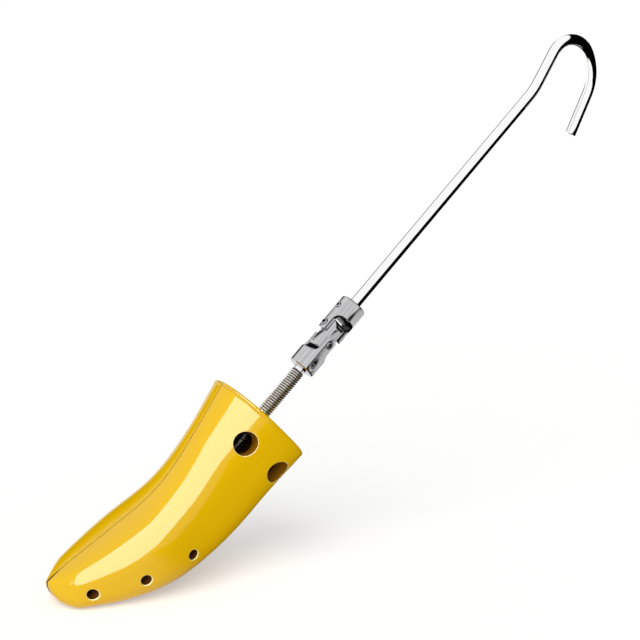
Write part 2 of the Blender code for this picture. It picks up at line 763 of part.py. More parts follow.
def make_toe_pin():
    bottom = TOE_STACK_Z - FIT - TOE_CLIP_HEIGHT - FIT
    head_under = knuckle_levels()[2] + KNUCKLE_HEIGHT + FIT
    groove_low = TOE_STACK_Z - FIT - TOE_CLIP_HEIGHT - FIT / 2
    groove_high = TOE_STACK_Z - FIT / 2
    groove = TOE_PIN_RADIUS - TOE_PIN_GROOVE
    profile = [
        (0, head_under + TOE_PIN_HEAD),
        (TOE_PIN_HEAD_RADIUS, head_under + TOE_PIN_HEAD),
        (TOE_PIN_HEAD_RADIUS, head_under),
        (TOE_PIN_RADIUS, head_under),
        (TOE_PIN_RADIUS, groove_high),
        (groove, groove_high),
        (groove, groove_low),
        (TOE_PIN_RADIUS, groove_low),
        (TOE_PIN_RADIUS, bottom - FIT),
        (0, bottom - FIT),
    ]
    place("toe_pin", turned_mesh(profile, steps=16), "satin_steel",
          None, Matrix.Translation((TOE_PIN_X, 0, 0)))


def make_toe_clip():
    """A flat ring with a gap, in the pin's groove."""
    inner = TOE_PIN_RADIUS - TOE_PIN_GROOVE + FIT
    low = TOE_STACK_Z - FIT - TOE_CLIP_HEIGHT
    high = TOE_STACK_Z - FIT
    mesh = split_ring(inner, TOE_CLIP_RADIUS, low, high)
    place("toe_pin_clip", mesh, "spring_steel", None, Matrix.Translation((TOE_PIN_X, 0, 0)))


def split_ring(inner, outer, low, high):
    """A retaining ring, open towards local +X."""
    profile = [(outer, high), (outer, low), (inner, low), (inner, high)]
    ring = turned_mesh(profile, closed=True, steps=20)
    size = (outer, inner, 2 * (high - low))
    return cut(ring, block_mesh(size, (outer, 0, (low + high) / 2)))


def spine_outline():
    """Rails round a window, and a tongue to the toe, in world X and Z."""
    def spot(along, off):
        point = in_rod_frame(along, off)
        return (point.x, point.z)

    eye = knuckle_levels()[1]
    nose = in_rod_frame(SPINE_NOSE, -RAIL_OUTER)
    knee = (
        TOE_PIN_X + (nose.x - TOE_PIN_X) * TONGUE_KNEE_SHARES[0],
        eye + (nose.z - eye) * TONGUE_KNEE_SHARES[1],
    )
    tongue_end = TOE_PIN_X + KNUCKLE_RADIUS / 2
    neck_end = TOE_PIN_X + KNUCKLE_RADIUS + OVERRUN
    return [
        spot(BLOCK_TOP, RAIL_OUTER),
        spot(SPINE_NOSE + RAIL_INNER, RAIL_OUTER),
        (knee[0], knee[1] + TONGUE_KNEE_HEIGHT),
        (neck_end, eye + KNUCKLE_HEIGHT),
        (tongue_end, eye + KNUCKLE_HEIGHT),
        (tongue_end, eye),
        (neck_end, eye),
        knee,
        (nose.x, nose.z),
        spot(BLOCK_TOP, -RAIL_OUTER),
    ]


def make_spine():
    upright = Matrix(((1, 0, 0, 0), (0, 0, -1, 0), (0, 1, 0, 0), (0, 0, 0, 1)))
    plate = plate_mesh(spine_outline(), SPINE_THICKNESS / 2, upright)
    length = OVERRUN - WINDOW_END
    window = in_rod_axis(block_mesh(
        (2 * RAIL_INNER, 2 * SPINE_THICKNESS, length), (0, 0, OVERRUN - length / 2)))
    eye_level = knuckle_levels()[1] + KNUCKLE_HEIGHT / 2
    eye = rod_mesh(KNUCKLE_RADIUS, KNUCKLE_HEIGHT, (TOE_PIN_X, 0, eye_level), (0, 0, 1))
    screws = [
        in_rod_axis(rod_mesh(BLOCK_SCREW_RADIUS + FIT, 2 * SPINE_THICKNESS,
                             (end * rail_middle(), 0, block_middle()), (0, 1, 0), steps=16))
        for end in (-1, 1)
    ]
    plate = cut(join(cut(plate, window), eye), toe_pin_bore(), *screws)
    place("spine_plate", plate, "satin_steel")


def rail_middle():
    return (RAIL_INNER + RAIL_OUTER) / 2


def block_middle():
    return BLOCK_TOP - BLOCK_LENGTH / 2


def make_nut_block():
    size = (2 * BLOCK_HALF_HEIGHT, 2 * BLOCK_HALF_WIDTH, BLOCK_LENGTH)
    block = block_mesh(size, (0, 0, block_middle()))
    bore = rod_mesh(NUT_RADIUS + FIT, 2 * BLOCK_LENGTH, (0, 0, block_middle()), (0, 0, 1))
    slot_depth = BLOCK_HALF_HEIGHT
    slot_inner = RAIL_INNER - FIT
    tools = [bore]
    for end in (-1, 1):
        centre = (end * (slot_inner + slot_depth / 2), 0, block_middle())
        tools.append(block_mesh(
            (slot_depth, SPINE_THICKNESS + 2 * FIT, 2 * BLOCK_LENGTH), centre))
        spot = (end * rail_middle(), 0, block_middle())
        tools.append(rod_mesh(
            BLOCK_SCREW_RADIUS + FIT, 3 * BLOCK_HALF_WIDTH, spot, (0, 1, 0), steps=16))
    place("nut_block", cut(block, *tools), "satin_steel", ROD_AXIS)


def make_nut():
    bore = THREAD_RADIUS + FIT
    flange_top = BLOCK_TOP - BLOCK_LENGTH - FIT
    profile = [
        (NUT_RADIUS, BLOCK_TOP),
        (NUT_RADIUS, flange_top),
        (NUT_FLANGE_RADIUS, flange_top),
        (NUT_FLANGE_RADIUS, flange_top - NUT_FLANGE),
        (bore, flange_top - NUT_FLANGE),
        (bore, BLOCK_TOP),
    ]
    place("spindle_nut", turned_mesh(profile, closed=True), "bronze", ROD_AXIS)


def make_block_screw(name, end):
    """A cap screw across the block and the rail, its head on the left face."""
    seat = BLOCK_HALF_WIDTH + FIT
    profile = [
        (0, seat + BLOCK_SCREW_HEAD / 2),
        (BLOCK_SCREW_SOCKET_RADIUS, seat + BLOCK_SCREW_HEAD / 2),
        (BLOCK_SCREW_SOCKET_RADIUS, seat + BLOCK_SCREW_HEAD),
        (BLOCK_SCREW_HEAD_RADIUS, seat + BLOCK_SCREW_HEAD),
        (BLOCK_SCREW_HEAD_RADIUS, seat),
        (BLOCK_SCREW_RADIUS, seat),
        (BLOCK_SCREW_RADIUS, -BLOCK_HALF_WIDTH),
        (0, -BLOCK_HALF_WIDTH),
    ]
    matrix = Matrix.Translation((end * rail_middle(), 0, block_middle()))
    matrix = matrix @ Matrix.Rotation(-pi / 2, 4, "X")
    place(name, turned_mesh(profile, steps=16), "satin_steel", ROD_AXIS, matrix)


# Spreader, spindle and springs

def make_wedge():
    half_width_at_top = WEDGE_NOSE_HALF_WIDTH + WEDGE_LENGTH * WEDGE_SLOPE
    outline = [
        (-half_width_at_top, WEDGE_TOP),
        (-WEDGE_NOSE_HALF_WIDTH, WEDGE_NOSE),
        (WEDGE_NOSE_HALF_WIDTH, WEDGE_NOSE),
        (half_width_at_top, WEDGE_TOP),
    ]
    turn = Matrix(((0, 0, 1, 0), (1, 0, 0, 0), (0, 1, 0, 0), (0, 0, 0, 1)))
    wedge = plate_mesh(outline, WEDGE_HALF_HEIGHT, turn)
    middle = (WEDGE_TOP + WEDGE_NOSE) / 2
    tools = [rod_mesh(JOURNAL_RADIUS + FIT, 2 * WEDGE_LENGTH, (0, 0, middle), (0, 0, 1))]
    groove_depth = WEDGE_HALF_HEIGHT
    inner = RAIL_INNER - FIT
    for end in (-1, 1):
        centre = (end * (inner + groove_depth / 2), 0, middle)
        tools.append(block_mesh(
            (groove_depth, SPINE_THICKNESS + 2 * FIT, 2 * WEDGE_LENGTH), centre))
    place("spreader_wedge", cut(wedge, *tools), "grey_nylon", ROD_AXIS)


def make_washer(name, low):
    inner = JOURNAL_RADIUS + FIT
    high = low + WASHER_THICKNESS
    profile = [(WASHER_RADIUS, high), (WASHER_RADIUS, low), (inner, low), (inner, high)]
    place(name, turned_mesh(profile, closed=True), "satin_steel", ROD_AXIS)


def washer_low():
    return WEDGE_TOP + FIT


def clip_high():
    return WEDGE_NOSE - FIT


def make_spindle_clip():
    inner = JOURNAL_RADIUS - TOE_PIN_GROOVE + FIT
    low = clip_high() - CLIP_THICKNESS
    place("spindle_clip", split_ring(inner, CLIP_RADIUS, low, clip_high()),
          "spring_steel", ROD_AXIS)


def thread_rings(low, high):
    """Rings of a helical thread between two heights, two rings to a pitch."""
    root = THREAD_RADIUS - THREAD_DEPTH
    rings = []
    count = int((high - low) / THREAD_PITCH) + 1
    for i in range(-2, 2 * count + 1):
        ring = []
        for j in range(THREAD_SIDES):
            height = low + (i / 2 + j / THREAD_SIDES) * THREAD_PITCH
            inside = low < height < high
            radius = THREAD_RADIUS if i % 2 and inside else root
            angle = 2 * pi * j / THREAD_SIDES
            height = min(max(height, low), high)
            ring.append((radius * cos(angle), radius * sin(angle), height))
        rings.append(ring)
    return rings


def plain_ring(radius, height):
    angles = [2 * pi * j / THREAD_SIDES for j in range(THREAD_SIDES)]
    return [(radius * cos(a), radius * sin(a), height) for a in angles]


def make_spindle():
    shoulder = washer_low() + WASHER_THICKNESS + FIT
    tip = clip_high() - CLIP_THICKNESS - FIT - CLIP_THICKNESS
    groove = JOURNAL_RADIUS - TOE_PIN_GROOVE
    groove_low = clip_high() - CLIP_THICKNESS - FIT / 2
    groove_high = clip_high() + FIT / 2
    neck_low = SPINDLE_PLACE - NECK_LENGTH
    neck_top = SPINDLE_PLACE + HUB_BORE_DEPTH - FIT
    rings = [
        plain_ring(JOURNAL_RADIUS, tip),
        plain_ring(JOURNAL_RADIUS, groove_low),
        plain_ring(groove, groove_low),
        plain_ring(groove, groove_high),
        plain_ring(JOURNAL_RADIUS, groove_high),
        plain_ring(JOURNAL_RADIUS, shoulder),
    ]
    rings += thread_rings(shoulder, neck_low)
    rings += [plain_ring(NECK_RADIUS, neck_low), plain_ring(NECK_RADIUS, neck_top)]
    spindle = loft_mesh([[Vector(point) for point in ring] for ring in rings])
    hole = rod_mesh(CROSS_PIN_RADIUS + FIT, 3 * NECK_RADIUS,
                    (0, 0, SPINDLE_PLACE + LOWER_CROSS_PIN), (0, 1, 0), steps=16)
    place("threaded_spindle", cut(spindle, hole), "thread_steel", ROD_AXIS)


def spring_points():
    """A coil along local Y with a straight tail at each end."""
    half = spring_half_length()
    points = [(0, -half - SPRING_TAIL, 0), (0, -half - WIRE_RADIUS, 0)]
    steps = SPRING_TURNS * SPRING_POINTS
    for i in range(steps + 1):
        angle = 2 * pi * i / SPRING_POINTS
        points.append((
            SPRING_RADIUS * sin(angle), -half + 2 * half * i / steps,
            SPRING_RADIUS * cos(angle)))
    return points + [(0, half + WIRE_RADIUS, 0), (0, half + SPRING_TAIL, 0)]


def least_gap(points):
    """The least gap between turns of a tube, measured on its points."""
    apart = SPRING_POINTS // 2 + 1
    nearest = min(
        (Vector(a) - Vector(b)).length
        for i, a in enumerate(points) for b in points[i + apart:]
    )
    return nearest - 2 * WIRE_RADIUS


def make_spring(name, end):
    points = spring_points()
    print(name, "least gap between turns, mm:", round(least_gap(points) / MM, 2))
    place(name, tube_mesh(points, WIRE_RADIUS, 1), "spring_steel", ROD_AXIS,
          Matrix.Translation((end * SPRING_OFFSET, 0, SPRING_PLACE)))


# Universal joint and handle

def yoke_outline():
    """The fork seen along its pivot pin: full hub, flare, ear."""
    tip = PIVOT_SETBACK + EAR_PAST_PIN
    wide = JOINT_RADIUS + OVERRUN
    flare = 6
    side = [(JOINT_RADIUS, FULL_HUB)]
    for i in range(1, flare + 1):
        angle = pi / 2 * i / flare
        side.append((
            EAR_HALF_WIDTH + (JOINT_RADIUS - EAR_HALF_WIDTH) * (1 - sin(angle)),
            EAR_START - (EAR_START - FULL_HUB) * cos(angle)))
    corner = arc_points((EAR_HALF_WIDTH - EAR_CORNER, tip - EAR_CORNER), EAR_CORNER, 0, pi / 2, 3)
    right = [(wide, -OVERRUN), (wide, FULL_HUB), *side, *corner]
    left = [(-x, z) for x, z in reversed(right)]
    return right + left


def make_yoke(name, bore_radius, cross_pin, matrix):
    """Hub end at local Z = 0, ears towards +Z on both sides of local Y."""
    tip = PIVOT_SETBACK + EAR_PAST_PIN
    profile = [
        (0, tip),
        (JOINT_RADIUS, tip),
        (JOINT_RADIUS, JOINT_CHAMFER),
        (JOINT_RADIUS - JOINT_CHAMFER, 0),
        (0, 0),
    ]
    upright = Matrix(((1, 0, 0, 0), (0, 0, -1, 0), (0, 1, 0, 0), (0, 0, 0, 1)))
    side_view = plate_mesh(yoke_outline(), 2 * JOINT_RADIUS, upright)
    yoke = keep_common(turned_mesh(profile), side_view)
    slot_length = JOINT_LENGTH
    slot = block_mesh((3 * JOINT_RADIUS, 2 * SLOT_HALF_WIDTH, slot_length),
                      (0, 0, SLOT_START + slot_length / 2))
    bore = rod_mesh(bore_radius + FIT, HUB_BORE_DEPTH + OVERRUN,
                    (0, 0, (HUB_BORE_DEPTH - OVERRUN) / 2), (0, 0, 1))
    pivot = rod_mesh(PIVOT_PIN_RADIUS + FIT, 3 * JOINT_RADIUS,
                     (0, 0, PIVOT_SETBACK), (0, 1, 0))
    cross = rod_mesh(CROSS_PIN_RADIUS + FIT, 3 * JOINT_RADIUS, (0, 0, cross_pin), (0, 1, 0),
                     steps=16)
    place(name, cut(yoke, slot, bore, pivot, cross), "satin_steel", ROD_AXIS, matrix)


def upper_yoke_matrix():
    """The same fork turned end for end, its ears a quarter turn round."""
    flip = Matrix.Rotation(pi, 4, "X") @ Matrix.Rotation(pi / 2, 4, "Z")
    return Matrix.Translation((0, 0, SPINDLE_PLACE + JOINT_LENGTH)) @ flip


def make_cross_pin(name, height, axis, proud):
    length = 2 * (JOINT_RADIUS + proud)
    pin = rod_mesh(CROSS_PIN_RADIUS, length, (0, 0, 0), axis, steps=16)
    place(name, pin, "satin_steel", ROD_AXIS, Matrix.Translation((0, 0, height)))


def make_pivot_pin(name, height, turn):
    """A pin across the fork with a shallow dished ring at each end."""
    half = JOINT_RADIUS + PIVOT_PIN_PROUD
    rim = PIVOT_PIN_RADIUS - PIVOT_PIN_DISH
    floor = half - PIVOT_PIN_DISH
    dish = PIVOT_PIN_RADIUS / 2
    profile = [
        (0, floor), (dish, floor), (rim - PIVOT_PIN_DISH, half), (rim, half),
        (PIVOT_PIN_RADIUS, floor), (PIVOT_PIN_RADIUS, -floor), (rim, -half),
        (rim - PIVOT_PIN_DISH, -half), (dish, -floor), (0, -floor),
    ]
    matrix = Matrix.Translation((0, 0, height)) @ turn
    place(name, turned_mesh(profile, steps=20), "satin_steel", ROD_AXIS, matrix)


def link_outline(round_end, flat_end):
    """One side view of the link: round about one pivot, flat past the other."""
    half = SLOT_HALF_WIDTH - FIT
    way = 1 if flat_end > round_end else -1
    outline = arc_points((0, round_end), half, way * pi, way * 2 * pi, 12)
    return outline + [(half, flat_end + way * half), (-half, flat_end + way * half)]


def make_link():
    half = SLOT_HALF_WIDTH - FIT
    along_y = Matrix(((1, 0, 0, 0), (0, 0, -1, 0), (0, 1, 0, 0), (0, 0, 0, 1)))
    along_x = Matrix(((0, 0, 1, 0), (1, 0, 0, 0), (0, 1, 0, 0), (0, 0, 0, 1)))
    lower = plate_mesh(link_outline(LOWER_PIVOT, UPPER_PIVOT), half, along_y)
    upper = plate_mesh(link_outline(UPPER_PIVOT, LOWER_PIVOT), half, along_x)
    bar = rod_mesh(LINK_RADIUS, JOINT_LENGTH, (0, 0, (LOWER_PIVOT + UPPER_PIVOT) / 2), (0, 0, 1))
    link = keep_common(bar, lower, upper)
    bore = PIVOT_PIN_RADIUS + FIT
    tools = (
        rod_mesh(bore, 4 * half, (0, 0, LOWER_PIVOT), (0, 1, 0)),
        rod_mesh(bore, 4 * half, (0, 0, UPPER_PIVOT), (1, 0, 0)),
    )
    place("link_block", cut(link, *tools), "satin_steel", ROD_AXIS)


def rod_path():
    """The rod's centre line in local X and Z, from inside the joint to the hook's tail."""
    joint_top = SPINDLE_PLACE + JOINT_LENGTH
    spot = Vector((0, joint_top - HUB_BORE_DEPTH + FIT))
    heading = 0.0
    path = [spot.copy()]
    runs = (
        (HUB_BORE_DEPTH - FIT + ROD_STRAIGHT, SET_BEND, SET_BEND_RADIUS),
        (SET_RUN, -CROWN_TURN, CROWN_RADIUS),
        (0.0, -SHOULDER_TURN, SHOULDER_RADIUS),
    )
    for run, turn, radius in runs:
        spot += Vector((sin(heading), cos(heading))) * run
        if run:
            path.append(spot.copy())
        steps = max(2, round(abs(turn) / ARC_STEP))
        chord = 2 * radius * sin(abs(turn) / steps / 2)
        for _ in range(steps):
            heading += turn / steps / 2
            spot += Vector((sin(heading), cos(heading))) * chord
            heading += turn / steps / 2
            path.append(spot.copy())
    for run in (TAIL_LENGTH - TAIL_CHAMFER, TAIL_CHAMFER):
        spot += Vector((sin(heading), cos(heading))) * run
        path.append(spot.copy())
    return [(point.x, 0, point.y) for point in path]


def make_rod():
    rod = tube_mesh(rod_path(), ROD_RADIUS, 4, 1 - TAIL_CHAMFER / ROD_RADIUS)
    joint_top = SPINDLE_PLACE + JOINT_LENGTH
    hole = rod_mesh(CROSS_PIN_RADIUS + FIT, 3 * ROD_RADIUS,
                    (0, 0, joint_top - UPPER_CROSS_PIN), (1, 0, 0), steps=16)
    place("handle_rod", cut(rod, hole), "chrome", ROD_AXIS)


def build():
    left_swing = make_shell("left_shell", -1)
    right_swing = make_shell("right_shell", 1)
    make_pad("left_wedge_pad", -1, left_swing)
    make_pad("right_wedge_pad", 1, right_swing)
    make_toe_pin()
    make_toe_clip()
    make_spine()
    make_nut_block()
    make_nut()
    make_block_screw("upper_block_screw", 1)
    make_block_screw("lower_block_screw", -1)
    make_wedge()
    make_washer("thrust_washer", washer_low())
    make_spindle_clip()
    make_spindle()
    make_spring("upper_return_spring", 1)
    make_spring("lower_return_spring", -1)
    make_yoke("lower_yoke", NECK_RADIUS, LOWER_CROSS_PIN,
              Matrix.Translation((0, 0, SPINDLE_PLACE)))
    make_yoke("upper_yoke", ROD_RADIUS, UPPER_CROSS_PIN, upper_yoke_matrix())
    make_cross_pin("lower_cross_pin", SPINDLE_PLACE + LOWER_CROSS_PIN, (0, 1, 0),
                   -LOWER_CROSS_PIN_RECESS)
    make_cross_pin("upper_cross_pin", SPINDLE_PLACE + JOINT_LENGTH - UPPER_CROSS_PIN,
                   (1, 0, 0), UPPER_CROSS_PIN_PROUD)
    make_pivot_pin("lower_pivot_pin", LOWER_PIVOT, Matrix.Rotation(pi / 2, 4, "X"))
    make_pivot_pin("upper_pivot_pin", UPPER_PIVOT, Matrix.Rotation(pi / 2, 4, "Y"))
    make_link()
    make_rod()


build()
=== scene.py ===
from math import cos, hypot, pi, radians, sin, tan

import bmesh
import bpy
from mathutils import Matrix, Vector
from mathutils.bvhtree import BVHTree
from mathutils.interpolate import poly_3d_calc


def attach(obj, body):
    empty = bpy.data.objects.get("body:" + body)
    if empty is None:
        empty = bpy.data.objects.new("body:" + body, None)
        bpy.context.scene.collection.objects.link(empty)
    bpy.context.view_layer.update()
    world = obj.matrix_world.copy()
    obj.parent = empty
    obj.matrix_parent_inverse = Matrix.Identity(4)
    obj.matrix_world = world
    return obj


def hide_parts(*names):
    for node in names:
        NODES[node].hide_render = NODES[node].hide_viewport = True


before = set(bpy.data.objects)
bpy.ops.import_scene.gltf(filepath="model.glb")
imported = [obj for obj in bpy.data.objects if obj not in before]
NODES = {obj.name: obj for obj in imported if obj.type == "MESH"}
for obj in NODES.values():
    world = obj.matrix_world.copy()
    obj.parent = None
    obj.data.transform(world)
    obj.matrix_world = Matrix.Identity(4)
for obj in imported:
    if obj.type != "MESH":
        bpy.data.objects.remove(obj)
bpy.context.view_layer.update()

MM = 0.001
bpy.context.scene.view_settings.view_transform = "Standard"

# The last, in the part's own frame: metres, toe to -X, sole on Z = 0, halves meet at Y = 0
FIT = 0.3 * MM
OVERRUN = 2.0 * MM
WELD = 0.000004
ROD_ANGLE = radians(42.4)
CUFF = Vector((130.0 * MM, 0, 104.6 * MM))
TOE_REACH = 161.5 * MM
CUFF_RISE = 41.1 * MM
CUFF_DROP = 35.6 * MM
TOE_TIP = Vector((CUFF.x - TOE_REACH, 0, 18.2 * MM))
TOE_ROUND = 19.2 * MM
SOLE_FLAT = 12.8 * MM
SOLE_DEPTH = 0.5 * MM
BALL_HALF_WIDTH = 35.1 * MM
WALL = 4.0 * MM
SEAM_HALF_GAP = 0.25 * MM
EDGE_ROUND = 2.2 * MM
INSTEP_SHARES = ((0.072, 0.250), (0.150, 0.319), (0.309, 0.458),
                 (0.456, 0.594), (0.570, 0.753), (0.690, 0.990))
WIDTH_SHARES = ((0.0, 0.0), (0.012, 0.10), (0.04, 0.24), (0.08, 0.45), (0.13, 0.63),
                (0.28, 0.90), (0.42, 1.0), (0.60, 0.864), (0.80, 0.805), (1.0, 0.971))
WIDEST_LEVEL_SHARE = 0.485
TOE_FULLNESS = 3.3
CUFF_FULLNESS = 2.15
LOWER_FULLNESS = 3.2
STATIONS = 110
STATION_CROWDING = 1.3
SECTION_STEPS = 48
CAVITY_START_SHARE = 0.035

# Plug holes
BIG_HOLE_RADIUS = 8.3 * MM
SMALL_HOLE_RADIUS = 3.7 * MM
BIG_RIM = 0.9 * MM
SMALL_RIM = 0.75 * MM
CUFF_HOLE_SHARES = ((0.8756, 0.678), (0.8942, 0.181))
SIDE_HOLE_SHARES = ((0.1506, 0.398), (0.3244, 0.362), (0.5022, 0.305))
CUFF_HOLE_TILTS = (radians(12), radians(-24))
SIDE_HOLE_TILT = radians(-10)
SPINDLE_HOLE_RADIUS = 6.2 * MM
SLEEVE_WALL = 1.8 * MM
BIG_SLEEVE = 11.0 * MM
SMALL_SLEEVE = 8.0 * MM

# Toe hinge
TOE_PIN_SETBACK = 11.6 * MM
TOE_PIN_X = TOE_TIP.x + TOE_PIN_SETBACK
TOE_PIN_RADIUS = 1.75 * MM
TOE_PIN_HEAD = 1.4 * MM
KNUCKLE_RADIUS = 3.6 * MM
KNUCKLE_HEIGHT = 3.0 * MM
TOE_STACK_Z = 9.4 * MM
TOE_CLIP_HEIGHT = 0.8 * MM
RELIEF_ANGLE = radians(3.6)

# Ribs inside a half
PAD_PLACE = -61.0 * MM
PAD_HALF_LENGTH = 7.0 * MM
PAD_HALF_HEIGHT = 11.0 * MM
PAD_BASE = 19.0 * MM
PAD_STEM_RADIUS = 2.5 * MM
PAD_STEM_LENGTH = 5.0 * MM
SPRING_PLACE = -37.0 * MM
SPRING_OFFSET = 18.0 * MM
SPRING_HALF_LENGTH = 10.45 * MM
SPRING_TAIL = 5.0 * MM
WIRE_RADIUS = 0.6 * MM
RIB_HALF_SIZE = 4.0 * MM

# Spindle
THREAD_RADIUS = 5.2 * MM
THREAD_DEPTH = 0.75 * MM
THREAD_PITCH = 1.8 * MM
NECK_RADIUS = 4.1 * MM
NECK_LENGTH = 3.0 * MM
JOURNAL_RADIUS = 3.0 * MM
JOINT_PLACE = 44.9 * MM
SHOULDER = -29.2 * MM
SPINDLE_TIP = -67.6 * MM
CLIP_GROOVE = (-66.45 * MM, -65.15 * MM)
GROOVE_RADIUS = 2.65 * MM

# Universal joint
JOINT_RADIUS = 10.0 * MM
JOINT_CHAMFER = 0.7 * MM
JOINT_LENGTH = 59.2 * MM
PIVOT_SETBACK = 23.8 * MM
EAR_HALF_WIDTH = 4.0 * MM
EAR_PAST_PIN = 4.3 * MM
EAR_START = 19.5 * MM
FULL_HUB = 13.2 * MM
EAR_CORNER = 1.0 * MM
SLOT_HALF_WIDTH = 6.7 * MM
LINK_RADIUS = 7.0 * MM
SLOT_START = 15.0 * MM
HUB_BORE_DEPTH = 13.0 * MM
PIVOT_PIN_RADIUS = 2.5 * MM
CROSS_PIN_RADIUS = 2.0 * MM
LOWER_CROSS_PIN = 5.4 * MM
UPPER_CROSS_PIN = 8.2 * MM
LOWER_PIVOT = JOINT_PLACE + PIVOT_SETBACK
UPPER_PIVOT = JOINT_PLACE + JOINT_LENGTH - PIVOT_SETBACK

# Handle rod
ROD_RADIUS = 4.0 * MM
ROD_STRAIGHT = 202.0 * MM
SET_BEND = radians(15)
SET_BEND_RADIUS = 52.0 * MM
SET_RUN = 24.6 * MM
CROWN_RADIUS = 18.8 * MM
CROWN_TURN = radians(118)
SHOULDER_RADIUS = 34.5 * MM
SHOULDER_TURN = radians(56)
TAIL_LENGTH = 31.8 * MM
TAIL_CHAMFER = 0.8 * MM

# Pin ends
PIVOT_PIN_HALF = 10.8 * MM
LOWER_CROSS_HALF = 9.2 * MM
UPPER_CROSS_HALF = 10.8 * MM
PIVOT_BORE = 1.3 * MM
LOWER_CROSS_BORE = 0.9 * MM
UPPER_CROSS_BORE = 1.0 * MM
# Painted shade on pin ends: how far it reaches past a bore, and what share of a solid pin's radius
# it covers.
SHADE_EDGE = 0.15 * MM
RIVET_SHADE_SHARE = 0.62

# Which skin a half's face takes
# Past FORM the skins are painted: shade inside the half, in large bores and where the halves meet,
# and a highlight on rims.
FORM, INNER, RIM_FACE, BORE_FACE, MEETING_FACE = range(5)
ON_FORM = 0.04 * MM
SAME_WAY = 0.9
CAP_AREA = 20 * MM * MM
SHARP = 32

OUT = Vector((cos(ROD_ANGLE), 0, sin(ROD_ANGLE)))
INSTEP_SIDE = Vector((-sin(ROD_ANGLE), 0, cos(ROD_ANGLE)))
ROD_FRAME = Matrix.Translation(CUFF) @ Matrix(
    (INSTEP_SIDE, Vector((0, -1, 0)), OUT)).transposed().to_4x4()
UPRIGHT = Matrix(((1, 0, 0, 0), (0, 0, -1, 0), (0, 1, 0, 0), (0, 0, 0, 1)))

# Camera, as fitted to the photograph
CAMERA = Vector((-0.3917, -0.9496, 0.4727))
CAMERA_RIGHT = Vector((0.85717, -0.51504, 0))
CAMERA_UP = Vector((0.13677, 0.22763, 0.96410))
CAMERA_BACK = Vector((-0.49654, -0.82639, 0.26556))
LENS = 92.4
SENSOR = 36

# Light. The key's direction points to it. Mirrors see a dark side where a ray's X or Y, or a
# floor point's place in metres, passes these ranges.
KEY_DIRECTION = (-0.57, -0.48, 0.67)
KEY_STRENGTH = 2.2
KEY_SPREAD = radians(60)
WORLD_LEVEL = 0.36
DARK_RIGHT = (0.46, 0.54)
DARK_BEHIND = (0.84, 0.9)
DARK_ABOVE = (0.06, 0.14)
FLOOR_DARK_RIGHT = (0.02, 0.1)
FLOOR_DARK_SLOPE = 0.55
FLOOR_DARK_SIDE = (-0.04, 0.02)
FLOOR_COLOUR = (0.8, 0.785, 0.74, 1)
FLOOR_GLOW = (0.345, 0.36, 0.39, 1)
FLOOR_SIZE = (24, 24, 0.02)

SCRATCH = bpy.data.collections.new("scratch")
bpy.context.scene.collection.children.link(SCRATCH)


# Mesh helpers

def new_object(name, mesh, group=None):
    thing = bpy.data.objects.new(name, mesh)
    (group or bpy.context.scene.collection).objects.link(thing)
    return thing


def mesh_of(bm, name="form"):
    bmesh.ops.recalc_face_normals(bm, faces=bm.faces)
    mesh = bpy.data.meshes.new(name)
    bm.to_mesh(mesh)
    bm.free()
    return mesh


def block(size, centre):
    bm = bmesh.new()
    bmesh.ops.create_cube(bm, size=1)
    bmesh.ops.scale(bm, vec=size, verts=bm.verts)
    bmesh.ops.translate(bm, vec=centre, verts=bm.verts)
    return mesh_of(bm)


def lofted(rings, closed=False):
    """A solid through rings of equal count, capped unless the rings close on themselves."""
    bm = bmesh.new()
    loops = [[bm.verts.new(point) for point in ring] for ring in rings]
    pairs = list(zip(loops, loops[1:]))
    if closed:
        pairs.append((loops[-1], loops[0]))
    else:
        bm.faces.new(loops[0])
        bm.faces.new(loops[-1])
    for low, high in pairs:
        for i in range(len(low)):
            j = (i + 1) % len(low)
            bm.faces.new((low[i], low[j], high[j], high[i]))
    bmesh.ops.remove_doubles(bm, verts=bm.verts, dist=WELD)
    bmesh.ops.dissolve_degenerate(bm, edges=bm.edges, dist=WELD)
    return mesh_of(bm)


def turned(profile, closed=False, steps=64):
    """Radius and height pairs turned about local Z."""
    rings = []
    for radius, height in profile:
        radius = max(radius, WELD * 2)
        rings.append([
            (radius * cos(2 * pi * i / steps), radius * sin(2 * pi * i / steps), height)
            for i in range(steps)
        ])
    return lofted(rings, closed)


def rod(radius, length, centre, axis, steps=64):
    """A plain cylinder about a centre, along an axis."""
    mesh = turned([(radius, -length / 2), (radius, length / 2)], steps=steps)
    turn = Vector((0, 0, 1)).rotation_difference(Vector(axis)).to_matrix().to_4x4()
    mesh.transform(Matrix.Translation(centre) @ turn)
    return mesh


def plate(outline, half_thickness, matrix=Matrix.Identity(4)):
    """A closed outline in local XY, thickened both ways."""
    rings = [[(x, y, z) for x, y in outline] for z in (-half_thickness, half_thickness)]
    mesh = lofted(rings)
    mesh.transform(matrix)
    return mesh


def evaluated(mesh, kind, **settings):
    """The mesh after one modifier."""
    carrier = new_object("carrier", mesh, SCRATCH)
    step = carrier.modifiers.new("step", kind)
    for name, value in settings.items():
        setattr(step, name, value)
    bpy.context.view_layer.update()
    result = bpy.data.meshes.new_from_object(
        carrier.evaluated_get(bpy.context.evaluated_depsgraph_get()))
    bpy.data.objects.remove(carrier)
    return result


def combine(mesh, tools, operation):
    for tool_mesh in tools:
        tool = new_object("tool", tool_mesh, SCRATCH)
        mesh = evaluated(mesh, "BOOLEAN", operation=operation, solver="MANIFOLD", object=tool)
        bpy.data.objects.remove(tool)
    return mesh


def cut(mesh, *tools):
    return combine(mesh, tools, "DIFFERENCE")


def keep_common(mesh, *tools):
    return combine(mesh, tools, "INTERSECT")


